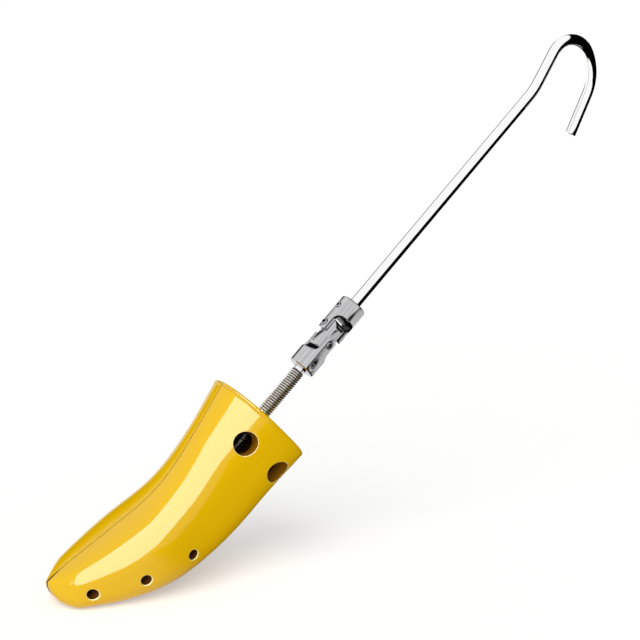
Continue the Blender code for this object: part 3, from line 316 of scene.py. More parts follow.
def softened(mesh, width=0.35 * MM, segments=2):
    """The mesh with its sharp edges rounded."""
    bm = bmesh.new()
    bm.from_mesh(mesh)
    bmesh.ops.remove_doubles(bm, verts=bm.verts, dist=WELD)
    bmesh.ops.dissolve_limit(bm, angle_limit=radians(1), verts=bm.verts, edges=bm.edges)
    bm.to_mesh(mesh)
    bm.free()
    return evaluated(mesh, "BEVEL", width=width, segments=segments, limit_method="ANGLE",
                     angle_limit=radians(30), harden_normals=False, use_clamp_overlap=True)


def dressed(name, mesh, skins, body, slot, *nodes, angle=SHARP):
    """A finished piece that stands for CAD nodes and moves with a body."""
    kinds = [face.material_index for face in mesh.polygons]
    mesh.materials.clear()
    for skin in skins:
        mesh.materials.append(skin)
    for face, kind in zip(mesh.polygons, kinds):
        face.material_index = min(kind, len(skins) - 1)
    if not mesh.has_custom_normals:
        mesh.shade_smooth()
        mesh.set_sharp_from_angle(angle=radians(angle))
    piece = new_object(name, mesh)
    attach(piece, body)
    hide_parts(*nodes)
    return piece


def in_rod_frame(mesh):
    mesh.transform(ROD_FRAME)
    return mesh


def arc(centre, radius, start, end, steps):
    turn = (end - start) / steps
    return [
        (centre[0] + radius * cos(start + turn * i), centre[1] + radius * sin(start + turn * i))
        for i in range(steps + 1)
    ]


# The last's form

def catmull_rom(p, t):
    return 0.5 * (
        2 * p[1] + (p[2] - p[0]) * t
        + (2 * p[0] - 5 * p[1] + 4 * p[2] - p[3]) * t * t
        + (3 * p[1] - p[0] - 3 * p[2] + p[3]) * t * t * t
    )


def smooth_through(points, steps=60):
    first = [2 * points[0][k] - points[1][k] for k in (0, 1)]
    last = [2 * points[-1][k] - points[-2][k] for k in (0, 1)]
    knots = [first, *points, last]
    curve = []
    for i in range(1, len(knots) - 2):
        for j in range(steps):
            curve.append(tuple(
                catmull_rom([knots[i + d][k] for d in (-1, 0, 1, 2)], j / steps)
                for k in (0, 1)
            ))
    curve.append(tuple(points[-1]))
    return curve


def at_share(line, share):
    runs = [hypot(b[0] - a[0], b[1] - a[1]) for a, b in zip(line, line[1:])]
    left = share * sum(runs)
    for (a, b), run in zip(zip(line, line[1:]), runs):
        if left <= run:
            part = left / run
            return Vector((a[0] + (b[0] - a[0]) * part, a[1] + (b[1] - a[1]) * part))
        left -= run
    return Vector(line[-1])


def instep_line():
    top = CUFF + INSTEP_SIDE * CUFF_RISE
    line = [(TOE_TIP.x, TOE_TIP.z)]
    line += [(TOE_TIP.x + x * TOE_REACH, z * CUFF.z) for x, z in INSTEP_SHARES]
    line.append((top.x, top.z))
    return smooth_through(line)


def sole_line():
    base = -SOLE_DEPTH
    foot = CUFF - INSTEP_SIDE * CUFF_DROP
    toe_centre = (TOE_TIP.x + TOE_ROUND, TOE_TIP.z)
    depth = TOE_TIP.z - base
    line = [
        (toe_centre[0] - TOE_ROUND * cos(pi / 2 * i / 40),
         toe_centre[1] - depth * sin(pi / 2 * i / 40))
        for i in range(41)
    ]
    bend_x = toe_centre[0] + SOLE_FLAT
    rise = (foot.x - bend_x) * tan(ROD_ANGLE) - (foot.z - base)
    bend = rise / (1 / cos(ROD_ANGLE) - 1)
    line += arc((bend_x, base + bend), bend, -pi / 2, ROD_ANGLE - pi / 2, 60)
    line.append((foot.x, foot.z))
    return line


WIDTHS = smooth_through(list(WIDTH_SHARES))
INSTEP = instep_line()
SOLE = sole_line()


def half_width(share):
    for (a, low), (b, high) in zip(WIDTHS, WIDTHS[1:]):
        if a <= share <= b and b > a:
            return BALL_HALF_WIDTH * (low + (high - low) * (share - a) / (b - a))
    return BALL_HALF_WIDTH * WIDTHS[-1][1]


def power(value, exponent):
    return abs(value) ** (2 / exponent)


def station_shares():
    return [(i / (STATIONS - 1)) ** STATION_CROWDING for i in range(STATIONS)]


def upper_fullness(share):
    return TOE_FULLNESS + (CUFF_FULLNESS - TOE_FULLNESS) * share


def section(top, bottom, width, share):
    centre = bottom + (top - bottom) * WIDEST_LEVEL_SHARE
    points = []
    for i in range(2 * SECTION_STEPS):
        angle = pi / 2 + pi * i / SECTION_STEPS
        upper = sin(angle) > 0
        reach = top - centre if upper else bottom - centre
        fullness = upper_fullness(share) if upper else LOWER_FULLNESS
        way = 1 if cos(angle) > 0 else -1
        spot = centre + reach * power(sin(angle), fullness)
        points.append(Vector((spot.x, way * width * power(cos(angle), fullness), spot.y)))
    return points


def outer_form():
    """The whole last, its cuff's rim rounded."""
    sections = [
        section(at_share(INSTEP, share), at_share(SOLE, share), half_width(share), share)
        for share in station_shares()[:-1]
    ]
    top, bottom = at_share(INSTEP, 1), at_share(SOLE, 1)
    inward = (bottom - top).normalized()
    for i in range(6):
        turn = pi / 2 * i / 5
        sunk = Vector((OUT.x, OUT.z)) * -EDGE_ROUND * (1 - sin(turn))
        inset = EDGE_ROUND * (1 - cos(turn))
        sections.append(section(top + sunk + inward * inset, bottom + sunk - inward * inset,
                                half_width(1) - inset, 1))
    return lofted(sections)


def cavity_form():
    shares = [s for s in station_shares() if s > CAVITY_START_SHARE][::3]
    shares[-1] = 1.0
    sections = []
    for share in shares:
        top, bottom = at_share(INSTEP, share), at_share(SOLE, share)
        inward = (bottom - top).normalized() * WALL
        if share == 1.0:
            sunk = Vector((OUT.x, OUT.z)) * -WALL
            top, bottom = top + sunk, bottom + sunk
        sections.append(section(top + inward, bottom - inward, half_width(share) - WALL, share))
    return lofted(sections)


OUTER = outer_form()


def tree_of(mesh):
    return BVHTree.FromPolygons([v.co for v in mesh.vertices],
                                [tuple(p.vertices) for p in mesh.polygons])


OUTER_TREE = tree_of(OUTER)


def outer_normal(spot):
    """The form's smooth normal at a point near its surface."""
    _, _, index, _ = OUTER_TREE.find_nearest(spot)
    corners = [OUTER.vertices[i] for i in OUTER.polygons[index].vertices]
    weights = poly_3d_calc([c.co for c in corners], spot)
    normal = sum((c.normal * w for c, w in zip(corners, weights)), Vector())
    return normal.normalized()


def with_form_normals(mesh):
    """Gives the faces that lie on the outer form the form's own smooth normals.

    Faces on the form take the skin FORM and the rest INNER, which is painted shade.
    """
    mesh.shade_smooth()
    mesh.set_sharp_from_angle(angle=radians(SHARP))
    normals = [(0.0, 0.0, 0.0)] * len(mesh.loops)
    for face in mesh.polygons:
        face.material_index = INNER
        _, _, index, away = OUTER_TREE.find_nearest(face.center)
        nearest = OUTER.polygons[index]
        if away > ON_FORM or abs(nearest.normal.dot(face.normal)) < SAME_WAY:
            continue
        face.material_index = FORM
        if nearest.area > CAP_AREA:
            continue
        for loop in face.loop_indices:
            spot = mesh.vertices[mesh.loops[loop].vertex_index].co
            normals[loop] = tuple(outer_normal(spot))
    mesh.normals_split_custom_set(normals)
    return mesh


# What is cut from a half

def other_half(side):
    depth = 2 * BALL_HALF_WIDTH
    return block((4 * TOE_REACH, depth, 4 * TOE_REACH),
                 (CUFF.x, side * (SEAM_HALF_GAP - depth / 2), CUFF.z))


def relief_cut(side):
    reach = TOE_PIN_SETBACK + OVERRUN
    spread = SEAM_HALF_GAP + reach * tan(RELIEF_ANGLE)
    outline = [(TOE_PIN_X, side * -OVERRUN), (TOE_PIN_X, side * SEAM_HALF_GAP),
               (TOE_PIN_X - reach, side * spread), (TOE_PIN_X - reach, side * -OVERRUN)]
    return plate(outline, CUFF.z)


def side_surface(place, side):
    share, level = place
    top, bottom = at_share(INSTEP, share), at_share(SOLE, share)
    upper = level > WIDEST_LEVEL_SHARE
    span = 1 - WIDEST_LEVEL_SHARE if upper else WIDEST_LEVEL_SHARE
    fullness = upper_fullness(share) if upper else LOWER_FULLNESS
    off = abs(level - WIDEST_LEVEL_SHARE) / span
    width = half_width(share) * (1 - off ** fullness) ** (1 / fullness)
    spot = bottom + (top - bottom) * level
    return Vector((spot.x, side * width, spot.y))


def plug_line(place, tilt, side):
    """Where a plug hole opens, and its axis."""
    return side_surface(place, side), Vector((0, side * cos(tilt), 0)) + INSTEP_SIDE * sin(tilt)


def plug_sleeve(place, radius, depth, tilt, side):
    """The tube round a plug hole, inside the half."""
    start, axis = plug_line(place, tilt, side)
    return rod(radius + SLEEVE_WALL, depth, start - axis * depth / 2, axis)


def mark_plug_hole(mesh, place, radius, rim, tilt, side):
    """Marks the rim of a plug hole for its painted highlight, and a large one's bore for its
    painted shade.
    """
    start, axis = plug_line(place, tilt, side)
    for face in mesh.polygons:
        if face.material_index != INNER:
            continue
        off = face.center - start
        reach = (off - axis * off.dot(axis)).length
        # Large holes' bore walls take painted shade; faces round an opening take the rim's painted
        # highlight.
        if abs(reach - radius) < 0.2 * MM and radius == BIG_HOLE_RADIUS:
            face.material_index = BORE_FACE
        elif radius < reach < radius + 1.3 * rim and off.dot(axis) > -WALL:
            face.material_index = RIM_FACE


def plug_hole(place, radius, rim, depth, tilt, side):
    """A round hole whose rounded rim follows the curved side.

    On the far half it stops short of its sleeve's end, which closes it.
    """
    start, axis = plug_line(place, tilt, side)
    across = axis.cross(OUT).normalized()
    along = across.cross(axis).normalized()
    steps = 72

    def height(spot):
        hit, _, _, _ = OUTER_TREE.ray_cast(spot + axis * 30 * MM, -axis)
        return (hit - spot).dot(axis) if hit else 0.0

    def ring(reach, lift, follow=True):
        points = []
        for i in range(steps):
            angle = 2 * pi * i / steps
            foot = start + (across * cos(angle) + along * sin(angle)) * reach
            level = height(foot) if follow else 0.0
            points.append(foot + axis * (level + lift))
        return points

    end = depth + OVERRUN if side < 0 else depth - SLEEVE_WALL
    rings = [ring(radius, -end, follow=False), ring(radius, -rim)]
    for i in range(1, 4):
        turn = pi / 2 * i / 4
        rings.append(ring(radius + rim * (1 - cos(turn)), rim * (sin(turn) - 1)))
    rings.append(ring(radius + rim, 0.02 * rim))
    rings.append(ring(radius + 1.5 * rim, 2 * rim))
    return lofted(rings)


def knuckle_level(side):
    return TOE_STACK_Z + (KNUCKLE_HEIGHT + FIT) * (0 if side < 0 else 2)


def knuckle(side):
    reach = side * BALL_HALF_WIDTH
    start = 0 if side < 0 else pi
    eye = arc((TOE_PIN_X, 0), KNUCKLE_RADIUS, start, start + pi, 32)
    outline = eye + [(eye[-1][0], reach), (eye[0][0], reach)]
    level = knuckle_level(side) + KNUCKLE_HEIGHT / 2
    return plate(outline, KNUCKLE_HEIGHT / 2, Matrix.Translation((0, 0, level)))


def rib(along, off, half_length, half_height, inner, side):
    reach = 2 * BALL_HALF_WIDTH
    return in_rod_frame(block((2 * half_height, reach, 2 * half_length),
                              (off, -side * (inner + reach / 2), along)))


def inner_tools(side):
    """Bores for the pad's stem, the springs' tails and the toe pin's stack."""
    tools = [in_rod_frame(rod(PAD_STEM_RADIUS + FIT, PAD_STEM_LENGTH + OVERRUN,
                              (0, -side * (PAD_BASE + PAD_STEM_LENGTH / 2), PAD_PLACE),
                              (0, 1, 0)))]
    depth = SPRING_TAIL + OVERRUN
    for end in (-1, 1):
        centre = (end * SPRING_OFFSET, -side * (SPRING_HALF_LENGTH + depth / 2), SPRING_PLACE)
        tools.append(in_rod_frame(rod(WIRE_RADIUS + FIT, depth, centre, (0, 1, 0), 24)))
    low = TOE_STACK_Z - 2 * FIT - TOE_CLIP_HEIGHT
    high = knuckle_level(1) + KNUCKLE_HEIGHT + TOE_PIN_HEAD + 2 * FIT
    tools.append(rod(TOE_PIN_RADIUS + FIT, high + OVERRUN, (TOE_PIN_X, 0, (high - OVERRUN) / 2),
                     (0, 0, 1)))
    own = knuckle_level(side)
    for a, b in ((low, own - FIT), (own + KNUCKLE_HEIGHT + FIT, high)):
        tools.append(rod(KNUCKLE_RADIUS + FIT, b - a, (TOE_PIN_X, 0, (a + b) / 2), (0, 0, 1)))
    return tools


def make_shell(name, side, body):
    inner = SPRING_HALF_LENGTH + WIRE_RADIUS + FIT
    holes = [(place, BIG_HOLE_RADIUS, BIG_RIM, BIG_SLEEVE, tilt)
             for place, tilt in zip(CUFF_HOLE_SHARES, CUFF_HOLE_TILTS)]
    holes += [(place, SMALL_HOLE_RADIUS, SMALL_RIM, SMALL_SLEEVE, SIDE_HOLE_TILT)
              for place in SIDE_HOLE_SHARES]
    ribs = [knuckle(side),
            rib(PAD_PLACE, 0, PAD_HALF_LENGTH, PAD_HALF_HEIGHT, PAD_BASE + FIT, side)]
    ribs += [rib(SPRING_PLACE, end * SPRING_OFFSET, RIB_HALF_SIZE, RIB_HALF_SIZE, inner, side)
             for end in (-1, 1)]
    ribs += [plug_sleeve(place, radius, depth, tilt, side)
             for place, radius, _, depth, tilt in holes]
    tools = [cut(cavity_form(), *ribs), cut(other_half(side), knuckle(side)),
             cut(relief_cut(side), knuckle(side))]
    tools.append(block((4 * TOE_REACH, 4 * BALL_HALF_WIDTH, 2 * OVERRUN), (CUFF.x, 0, -OVERRUN)))
    tools.append(in_rod_frame(rod(SPINDLE_HOLE_RADIUS, 3 * WALL, (0, 0, -WALL / 2), (0, 0, 1))))
    tools += inner_tools(side)
    tools += [plug_hole(*hole, side) for hole in holes]
    mesh = with_form_normals(cut(OUTER.copy(), *tools))
    for place, radius, rim, _, tilt in holes:
        mark_plug_hole(mesh, place, radius, rim, tilt, side)
    # Faces where the halves meet behind the toe pin take painted shade; those ahead of the pin and
    # the sole's cut stay plain yellow.
    for face in mesh.polygons:
        if face.material_index == INNER and abs(face.center.y) < 3 * SEAM_HALF_GAP:
            face.material_index = MEETING_FACE if face.center.x > TOE_PIN_X else FORM
        elif face.material_index == INNER and face.center.z < 0.1 * MM:
            face.material_index = FORM
    dressed("skin_" + name, mesh, [YELLOW, INSIDE_SHADE, RIM_HIGHLIGHT, BORE_SHADE, MEETING_SHADE], body, "yellow_plastic",
            name)


# Spindle, joint and rod

def ring_at(radius, height, steps=64):
    return [(radius * cos(2 * pi * j / steps), radius * sin(2 * pi * j / steps), height)
            for j in range(steps)]


def make_spindle():
    """A rolled thread that runs out to a bare neck, with a plain journal."""
    steps = 64
    root = THREAD_RADIUS - THREAD_DEPTH
    neck_low = JOINT_PLACE - NECK_LENGTH
    outline = ((0.0, 0.0), (0.14, 0.0), (0.22, 0.25), (0.42, 0.93), (0.5, 1.0), (0.58, 0.93),
               (0.78, 0.25), (0.86, 0.0))
    rings = [ring_at(JOURNAL_RADIUS - 0.4 * MM, SPINDLE_TIP),
             ring_at(JOURNAL_RADIUS, SPINDLE_TIP + 0.4 * MM),
             ring_at(JOURNAL_RADIUS, CLIP_GROOVE[0]), ring_at(GROOVE_RADIUS, CLIP_GROOVE[0]),
             ring_at(GROOVE_RADIUS, CLIP_GROOVE[1]), ring_at(JOURNAL_RADIUS, CLIP_GROOVE[1]),
             ring_at(JOURNAL_RADIUS, SHOULDER)]
    turns = int((neck_low - SHOULDER) / THREAD_PITCH) + 1
    for turn in range(-1, turns):
        for at, rise in outline:
            ring = []
            for j in range(steps):
                height = SHOULDER + (turn + at + j / steps) * THREAD_PITCH
                fade = min(max((neck_low - height) / THREAD_PITCH, 0), 1)
                fade *= min(max((height - SHOULDER) / THREAD_PITCH, 0), 1)
                radius = root + THREAD_DEPTH * rise * fade
                height = min(max(height, SHOULDER + 0.01 * MM), neck_low)
                angle = 2 * pi * j / steps
                ring.append((radius * cos(angle), radius * sin(angle), height))
            rings.append(ring)
    rings += [ring_at(root, neck_low), ring_at(NECK_RADIUS, neck_low + 0.3 * MM),
              ring_at(NECK_RADIUS, JOINT_PLACE + HUB_BORE_DEPTH - FIT)]
    mesh = cut(lofted(rings), rod(CROSS_PIN_RADIUS + FIT, 3 * NECK_RADIUS,
                                  (0, 0, JOINT_PLACE + LOWER_CROSS_PIN), (0, 1, 0)))
    # Thread roots take a near-black steel: painted shade between the crests.
    for face in mesh.polygons:
        reach = hypot(face.center.x, face.center.y)
        if SHOULDER < face.center.z < neck_low and reach < root + 0.4 * THREAD_DEPTH:
            face.material_index = 1
        # The spindle inside the shell takes a darker steel: painted shade of the hollow.
        elif face.center.z < -WALL:
            face.material_index = 2
    dressed("skin_threaded_spindle", in_rod_frame(mesh), [THREAD, THREAD_ROOT_SHADE, THREAD_INSIDE_SHADE], "spindle",
            "thread_steel", "threaded_spindle", angle=40)


def yoke_outline():
    tip = PIVOT_SETBACK + EAR_PAST_PIN
    wide = JOINT_RADIUS + OVERRUN
    side = [(JOINT_RADIUS, FULL_HUB)]
    for i in range(1, 17):
        angle = pi / 2 * i / 16
        side.append((EAR_HALF_WIDTH + (JOINT_RADIUS - EAR_HALF_WIDTH) * (1 - sin(angle)),
                     EAR_START - (EAR_START - FULL_HUB) * cos(angle)))
    corner = arc((EAR_HALF_WIDTH - EAR_CORNER, tip - EAR_CORNER), EAR_CORNER, 0, pi / 2, 8)
    right = [(wide, -OVERRUN), (wide, FULL_HUB), *side, *corner]
    return right + [(-x, z) for x, z in reversed(right)]


def make_yoke(name, bore_radius, cross_pin, matrix, body):
    tip = PIVOT_SETBACK + EAR_PAST_PIN
    profile = [(0, tip), (JOINT_RADIUS, tip), (JOINT_RADIUS, JOINT_CHAMFER),
               (JOINT_RADIUS - JOINT_CHAMFER, 0), (0, 0)]
    yoke = keep_common(turned(profile, steps=96),
                       plate(yoke_outline(), 2 * JOINT_RADIUS, UPRIGHT))
    slot = block((3 * JOINT_RADIUS, 2 * SLOT_HALF_WIDTH, JOINT_LENGTH),
                 (0, 0, SLOT_START + JOINT_LENGTH / 2))
    bore = rod(bore_radius + FIT, HUB_BORE_DEPTH + OVERRUN,
               (0, 0, (HUB_BORE_DEPTH - OVERRUN) / 2), (0, 0, 1))
    pivot = rod(PIVOT_PIN_RADIUS + FIT, 3 * JOINT_RADIUS, (0, 0, PIVOT_SETBACK), (0, 1, 0))
    cross = rod(CROSS_PIN_RADIUS + FIT, 3 * JOINT_RADIUS, (0, 0, cross_pin), (0, 1, 0))
    mesh = softened(cut(yoke, slot, bore, pivot, cross), 0.3 * MM)
    # Faces inside the slot take a near-black steel: painted shade in the slot.
    for face in mesh.polygons:
        spot = face.center
        if spot.z > SLOT_START - 0.1 * MM and abs(spot.y) < SLOT_HALF_WIDTH + 0.05 * MM:
            face.material_index = 1
    mesh.transform(ROD_FRAME @ matrix)
    dressed("skin_" + name, mesh, [SATIN, SLOT_SHADE], body, "satin_steel", name)


def make_link():
    half = SLOT_HALF_WIDTH - FIT

    def outline(round_end, flat_end):
        way = 1 if flat_end > round_end else -1
        return arc((0, round_end), half, way * pi, way * 2 * pi, 32) + [
            (half, flat_end + way * half), (-half, flat_end + way * half)]

    along_x = Matrix(((0, 0, 1, 0), (1, 0, 0, 0), (0, 1, 0, 0), (0, 0, 0, 1)))
    bar = rod(LINK_RADIUS, JOINT_LENGTH, (0, 0, (LOWER_PIVOT + UPPER_PIVOT) / 2), (0, 0, 1), 96)
    mesh = keep_common(bar, plate(outline(LOWER_PIVOT, UPPER_PIVOT), half, UPRIGHT),
                       plate(outline(UPPER_PIVOT, LOWER_PIVOT), half, along_x))
    bore = PIVOT_PIN_RADIUS + FIT
    mesh = cut(mesh, rod(bore, 4 * half, (0, 0, LOWER_PIVOT), (0, 1, 0)),
               rod(bore, 4 * half, (0, 0, UPPER_PIVOT), (1, 0, 0)))
    dressed("skin_link_block", in_rod_frame(softened(mesh, 0.35 * MM)), [SATIN], "link",
            "satin_steel", "link_block")


def rivet_profile(radius, half):
    """A solid pin's ends: a raised ring round a shallow dish."""
    end = [(0, half - 0.45 * MM), (0.42 * radius, half - 0.45 * MM),
           (0.62 * radius, half - 0.1 * MM), (0.7 * radius, half), (0.86 * radius, half),
           (0.96 * radius, half - 0.12 * MM), (radius, half - 0.35 * MM)]
    return end + [(r, -z) for r, z in reversed(end)]


def tube_profile(radius, bore, half):
    """A rolled hollow pin's ends, chamfered outside."""
    end = [(0, half - 5 * MM), (bore, half - 5 * MM), (bore, half - 0.2 * MM),
           (bore + 0.2 * MM, half), (radius - 0.35 * MM, half), (radius, half - 0.5 * MM)]
    return end + [(r, -z) for r, z in reversed(end)]


def make_pin(name, profile, height, turn, body, shade_radius):
    """A pin whose ends are painted dark within a radius: painted shade in the dish or bore."""
    mesh = turned(profile)
    for face in mesh.polygons:
        face.material_index = int(hypot(face.center.x, face.center.y) < shade_radius)
    mesh.transform(ROD_FRAME @ Matrix.Translation((0, 0, height)) @ turn)
    dressed("skin_" + name, mesh, [PIN, PIN_END_SHADE], body, "satin_steel", name, angle=40)


def rod_stations():
    """Centre and heading of the rod, in the rod frame, from inside the joint to the tail."""
    spot = Vector((0, JOINT_PLACE + JOINT_LENGTH - HUB_BORE_DEPTH + FIT))
    heading = 0.0
    stations = [(spot.copy(), heading)]
    runs = ((HUB_BORE_DEPTH - FIT + ROD_STRAIGHT, SET_BEND, SET_BEND_RADIUS, 14),
            (SET_RUN, -CROWN_TURN, CROWN_RADIUS, 72),
            (0.0, -SHOULDER_TURN, SHOULDER_RADIUS, 36))
    for run, turn, radius, steps in runs:
        pieces = max(1, round(run / (6 * MM)))
        for _ in range(pieces if run else 0):
            spot += Vector((sin(heading), cos(heading))) * run / pieces
            stations.append((spot.copy(), heading))
        chord = 2 * radius * sin(abs(turn) / steps / 2)
        for _ in range(steps):
            middle = heading + turn / steps / 2
            spot += Vector((sin(middle), cos(middle))) * chord
            heading += turn / steps
            stations.append((spot.copy(), heading))
    for _ in range(6):
        spot += Vector((sin(heading), cos(heading))) * (TAIL_LENGTH - TAIL_CHAMFER) / 6
        stations.append((spot.copy(), heading))
    return stations


def make_rod():
    steps = 64
    stations = rod_stations()
    spot, heading = stations[-1]
    forward = Vector((sin(heading), cos(heading)))
    rings = [(place, way, ROD_RADIUS) for place, way in stations]
    for i in range(1, 5):
        turn = pi / 2 * i / 4
        rings.append((spot + forward * TAIL_CHAMFER * sin(turn), heading,
                      ROD_RADIUS - TAIL_CHAMFER * (1 - cos(turn))))
    mesh = lofted([
        [Vector((place.x + radius * cos(a) * cos(way), radius * sin(a),
                 place.y - radius * cos(a) * sin(way)))
         for a in [2 * pi * j / steps for j in range(steps)]]
        for place, way, radius in rings
    ])
    mesh = cut(mesh, rod(CROSS_PIN_RADIUS + FIT, 3 * ROD_RADIUS,
                         (0, 0, JOINT_PLACE + JOINT_LENGTH - UPPER_CROSS_PIN), (1, 0, 0)))
    dressed("skin_handle_rod", in_rod_frame(mesh), [CHROME], "handle", "chrome", "handle_rod")


# Materials

class Skin:
    """A procedural material under construction."""

    def __init__(self, name, colour, roughness, metallic):
        self.material = bpy.data.materials.new(name)
        self.material.use_nodes = True
        self.material.diffuse_color = (*colour, 1)
        self.tree = self.material.node_tree
        self.shader = self.tree.nodes["Principled BSDF"]
        self.shader.inputs["Base Color"].default_value = (*colour, 1)
        self.shader.inputs["Roughness"].default_value = roughness
        self.shader.inputs["Metallic"].default_value = metallic

    def add(self, kind, **settings):
        node = self.tree.nodes.new(kind)
        for name, value in settings.items():
            setattr(node, name, value)
        return node

    def link(self, start, end):
        self.tree.links.new(start, end)

    def place(self, scale, turned_with_rod=False):
        """The piece's own coordinates, with Z along the rod if asked, scaled."""
        spot = self.add("ShaderNodeTexCoord").outputs["Object"]
        if turned_with_rod:
            turn = self.add("ShaderNodeMapping")
            turn.inputs["Rotation"].default_value = (0, ROD_ANGLE - pi / 2, 0)
            self.link(spot, turn.inputs["Vector"])
            spot = turn.outputs["Vector"]
        size = self.add("ShaderNodeMapping")
        size.inputs["Scale"].default_value = scale
        self.link(spot, size.inputs["Vector"])
        return size.outputs["Vector"]

    def noise(self, scale, detail=3.0, turned_with_rod=False):
        node = self.add("ShaderNodeTexNoise")
        node.inputs["Scale"].default_value = 1.0
        node.inputs["Detail"].default_value = detail
        self.link(self.place(scale, turned_with_rod), node.inputs["Vector"])
        return node.outputs["Fac"]

    def ramp(self, value, low, high, start=0.3, end=0.7):
        """Maps a 0 to 1 value between two colours."""
        node = self.add("ShaderNodeValToRGB")
        node.color_ramp.elements[0].position = start
        node.color_ramp.elements[1].position = end
        node.color_ramp.elements[0].color = (*low, 1)
        node.color_ramp.elements[1].color = (*high, 1)
        self.link(value, node.inputs["Fac"])
        return node.outputs["Color"]

    def spread(self, value, low, high, start=0.3, end=0.7):
        node = self.add("ShaderNodeMapRange")
        for name, number in (("From Min", start), ("From Max", end), ("To Min", low),
                             ("To Max", high)):
            node.inputs[name].default_value = number
        self.link(value, node.inputs["Value"])
        return node.outputs["Result"]

    def bump(self, value, distance, strength=1.0, under=None):
        node = self.add("ShaderNodeBump")
        node.inputs["Distance"].default_value = distance
        node.inputs["Strength"].default_value = strength
        self.link(value, node.inputs["Height"])
        if under is not None:
            self.link(under, node.inputs["Normal"])
        return node.outputs["Normal"]

    def use(self, **sockets):
        for name, source in sockets.items():
            self.link(source, self.shader.inputs[name.replace("_", " ")])


def plastic(name, colour, swing, roughness, specular):
    """Moulded plastic, its colour varying by a share and its surface slightly uneven."""
    skin = Skin(name, colour, roughness, 0)
    low = tuple(c * (1 - swing) for c in colour)
    high = tuple(min(1, c * (1 + swing)) for c in colour)
    skin.use(Base_Color=skin.ramp(skin.noise((9, 9, 9)), low, high))
    skin.use(Roughness=skin.spread(skin.noise((60, 60, 60), 6), roughness * 0.8, roughness * 1.25))
    wave = skin.bump(skin.noise((45, 45, 45), 2), 0.05 * MM, 0.3)
    skin.use(Normal=skin.bump(skin.noise((900, 900, 900), 2), 0.01 * MM, 0.2, wave))
    skin.shader.inputs["Specular IOR Level"].default_value = specular
    return skin.material


def steel(name, colour, roughness, streaks, depth, swing=0.1):
    """Turned or drawn steel with streaks; streaks gives the noise scale in the rod frame."""
    skin = Skin(name, colour, roughness, 1)
    grain = skin.noise(streaks, 4, turned_with_rod=True)
    low = tuple(c * (1 - swing) for c in colour)
    high = tuple(min(1, c * (1 + swing)) for c in colour)
    skin.use(Base_Color=skin.ramp(grain, low, high))
    skin.use(Roughness=skin.spread(skin.noise((80, 80, 80), 5), roughness * 0.8,
                                   roughness * 1.25))
    skin.use(Normal=skin.bump(grain, depth, 0.6))
    return skin.material


def chrome():
    skin = Skin("chrome_plate", (0.95, 0.95, 0.955), 0.03, 1)
    skin.use(Base_Color=skin.ramp(skin.noise((30, 30, 30)), (0.93, 0.93, 0.935),
                                  (0.97, 0.97, 0.975)))
    skin.use(Roughness=skin.spread(skin.noise((120, 120, 120), 6), 0.02, 0.045))
    skin.use(Normal=skin.bump(skin.noise((300, 300, 12), 2, True), 0.004 * MM, 0.25))
    return skin.material


def nylon():
    skin = Skin("grey_nylon_matte", (0.55, 0.55, 0.52), 0.5, 0)
    skin.use(Base_Color=skin.ramp(skin.noise((70, 70, 70), 5), (0.5, 0.5, 0.47),
                                  (0.58, 0.58, 0.55)))
    skin.use(Roughness=skin.spread(skin.noise((200, 200, 200)), 0.42, 0.58))
    skin.use(Normal=skin.bump(skin.noise((1500, 1500, 1500)), 0.02 * MM, 0.4))
    return skin.material


YELLOW = plastic("yellow_plastic_gloss", (0.85, 0.508, 0.002), 0.02, 0.07, 0.36)
# A pale yellow for the hole rims: a painted highlight on their rounded edges.
RIM_HIGHLIGHT = plastic("yellow_plastic_rim_painted_highlight", (1.0, 0.88, 0.4), 0.0, 0.2, 0.5)
# A dark brown for the large holes' bores: painted shade down the bore.
BORE_SHADE = plastic("yellow_plastic_bore_painted_shade", (0.27, 0.115, 0.002), 0.03, 0.3, 0.1)
# A near-black brown for the faces inside the half: painted shade of the hollow.
INSIDE_SHADE = plastic("yellow_plastic_inside_painted_shade", (0.11, 0.032, 0.002), 0.06, 0.5, 0.1)
# A near-black yellow for the faces where the halves meet: painted shade in the seam.
MEETING_SHADE = plastic("yellow_plastic_meeting_face_painted_shade", (0.12, 0.068, 0.001), 0.03, 0.4, 0.1)
SATIN = steel("satin_steel_streaked", (0.55, 0.55, 0.56), 0.18, (900, 900, 25), 0.012 * MM, 0.2)
# Near-black steel for the yokes' slots: painted shade.
SLOT_SHADE = steel("slot_steel_painted_shade", (0.09, 0.09, 0.095), 0.4, (500, 500, 500), 0.01 * MM, 0.3)
PIN = steel("pin_steel", (0.42, 0.42, 0.43), 0.2, (500, 500, 500), 0.01 * MM, 0.16)
# Near-black steel for the pin ends' centres: painted shade in the dish or bore.
PIN_END_SHADE = steel("pin_centre_painted_shade", (0.04, 0.04, 0.042), 0.35, (500, 500, 500), 0.01 * MM, 0.3)
THREAD = steel("rolled_thread_steel", (0.92, 0.92, 0.93), 0.14, (300, 300, 900), 0.01 * MM, 0.16)
# Near-black steel for the thread roots: painted shade between the crests.
THREAD_ROOT_SHADE = steel("thread_root_painted_shade", (0.1, 0.1, 0.102), 0.35, (300, 300, 900), 0.01 * MM, 0.3)
# A darker thread steel for the spindle inside the shell: painted shade of the hollow.
THREAD_INSIDE_SHADE = steel("thread_steel_inside_painted_shade", (0.6, 0.59, 0.57), 0.2, (300, 300, 900), 0.01 * MM, 0.2)
# Near-black steel for the plates, block and washer inside the shell: painted shade of the hollow.
PLATE_SHADE = steel("plate_steel_painted_shade", (0.12, 0.115, 0.11), 0.5, (500, 60, 60), 0.015 * MM, 0.2)
SPRING = steel("drawn_spring_wire", (0.38, 0.38, 0.4), 0.27, (700, 80, 700), 0.01 * MM, 0.15)
BRONZE = steel("turned_bronze", (0.6, 0.42, 0.2), 0.32, (120, 120, 1600), 0.015 * MM, 0.14)
CHROME = chrome()
NYLON = nylon()

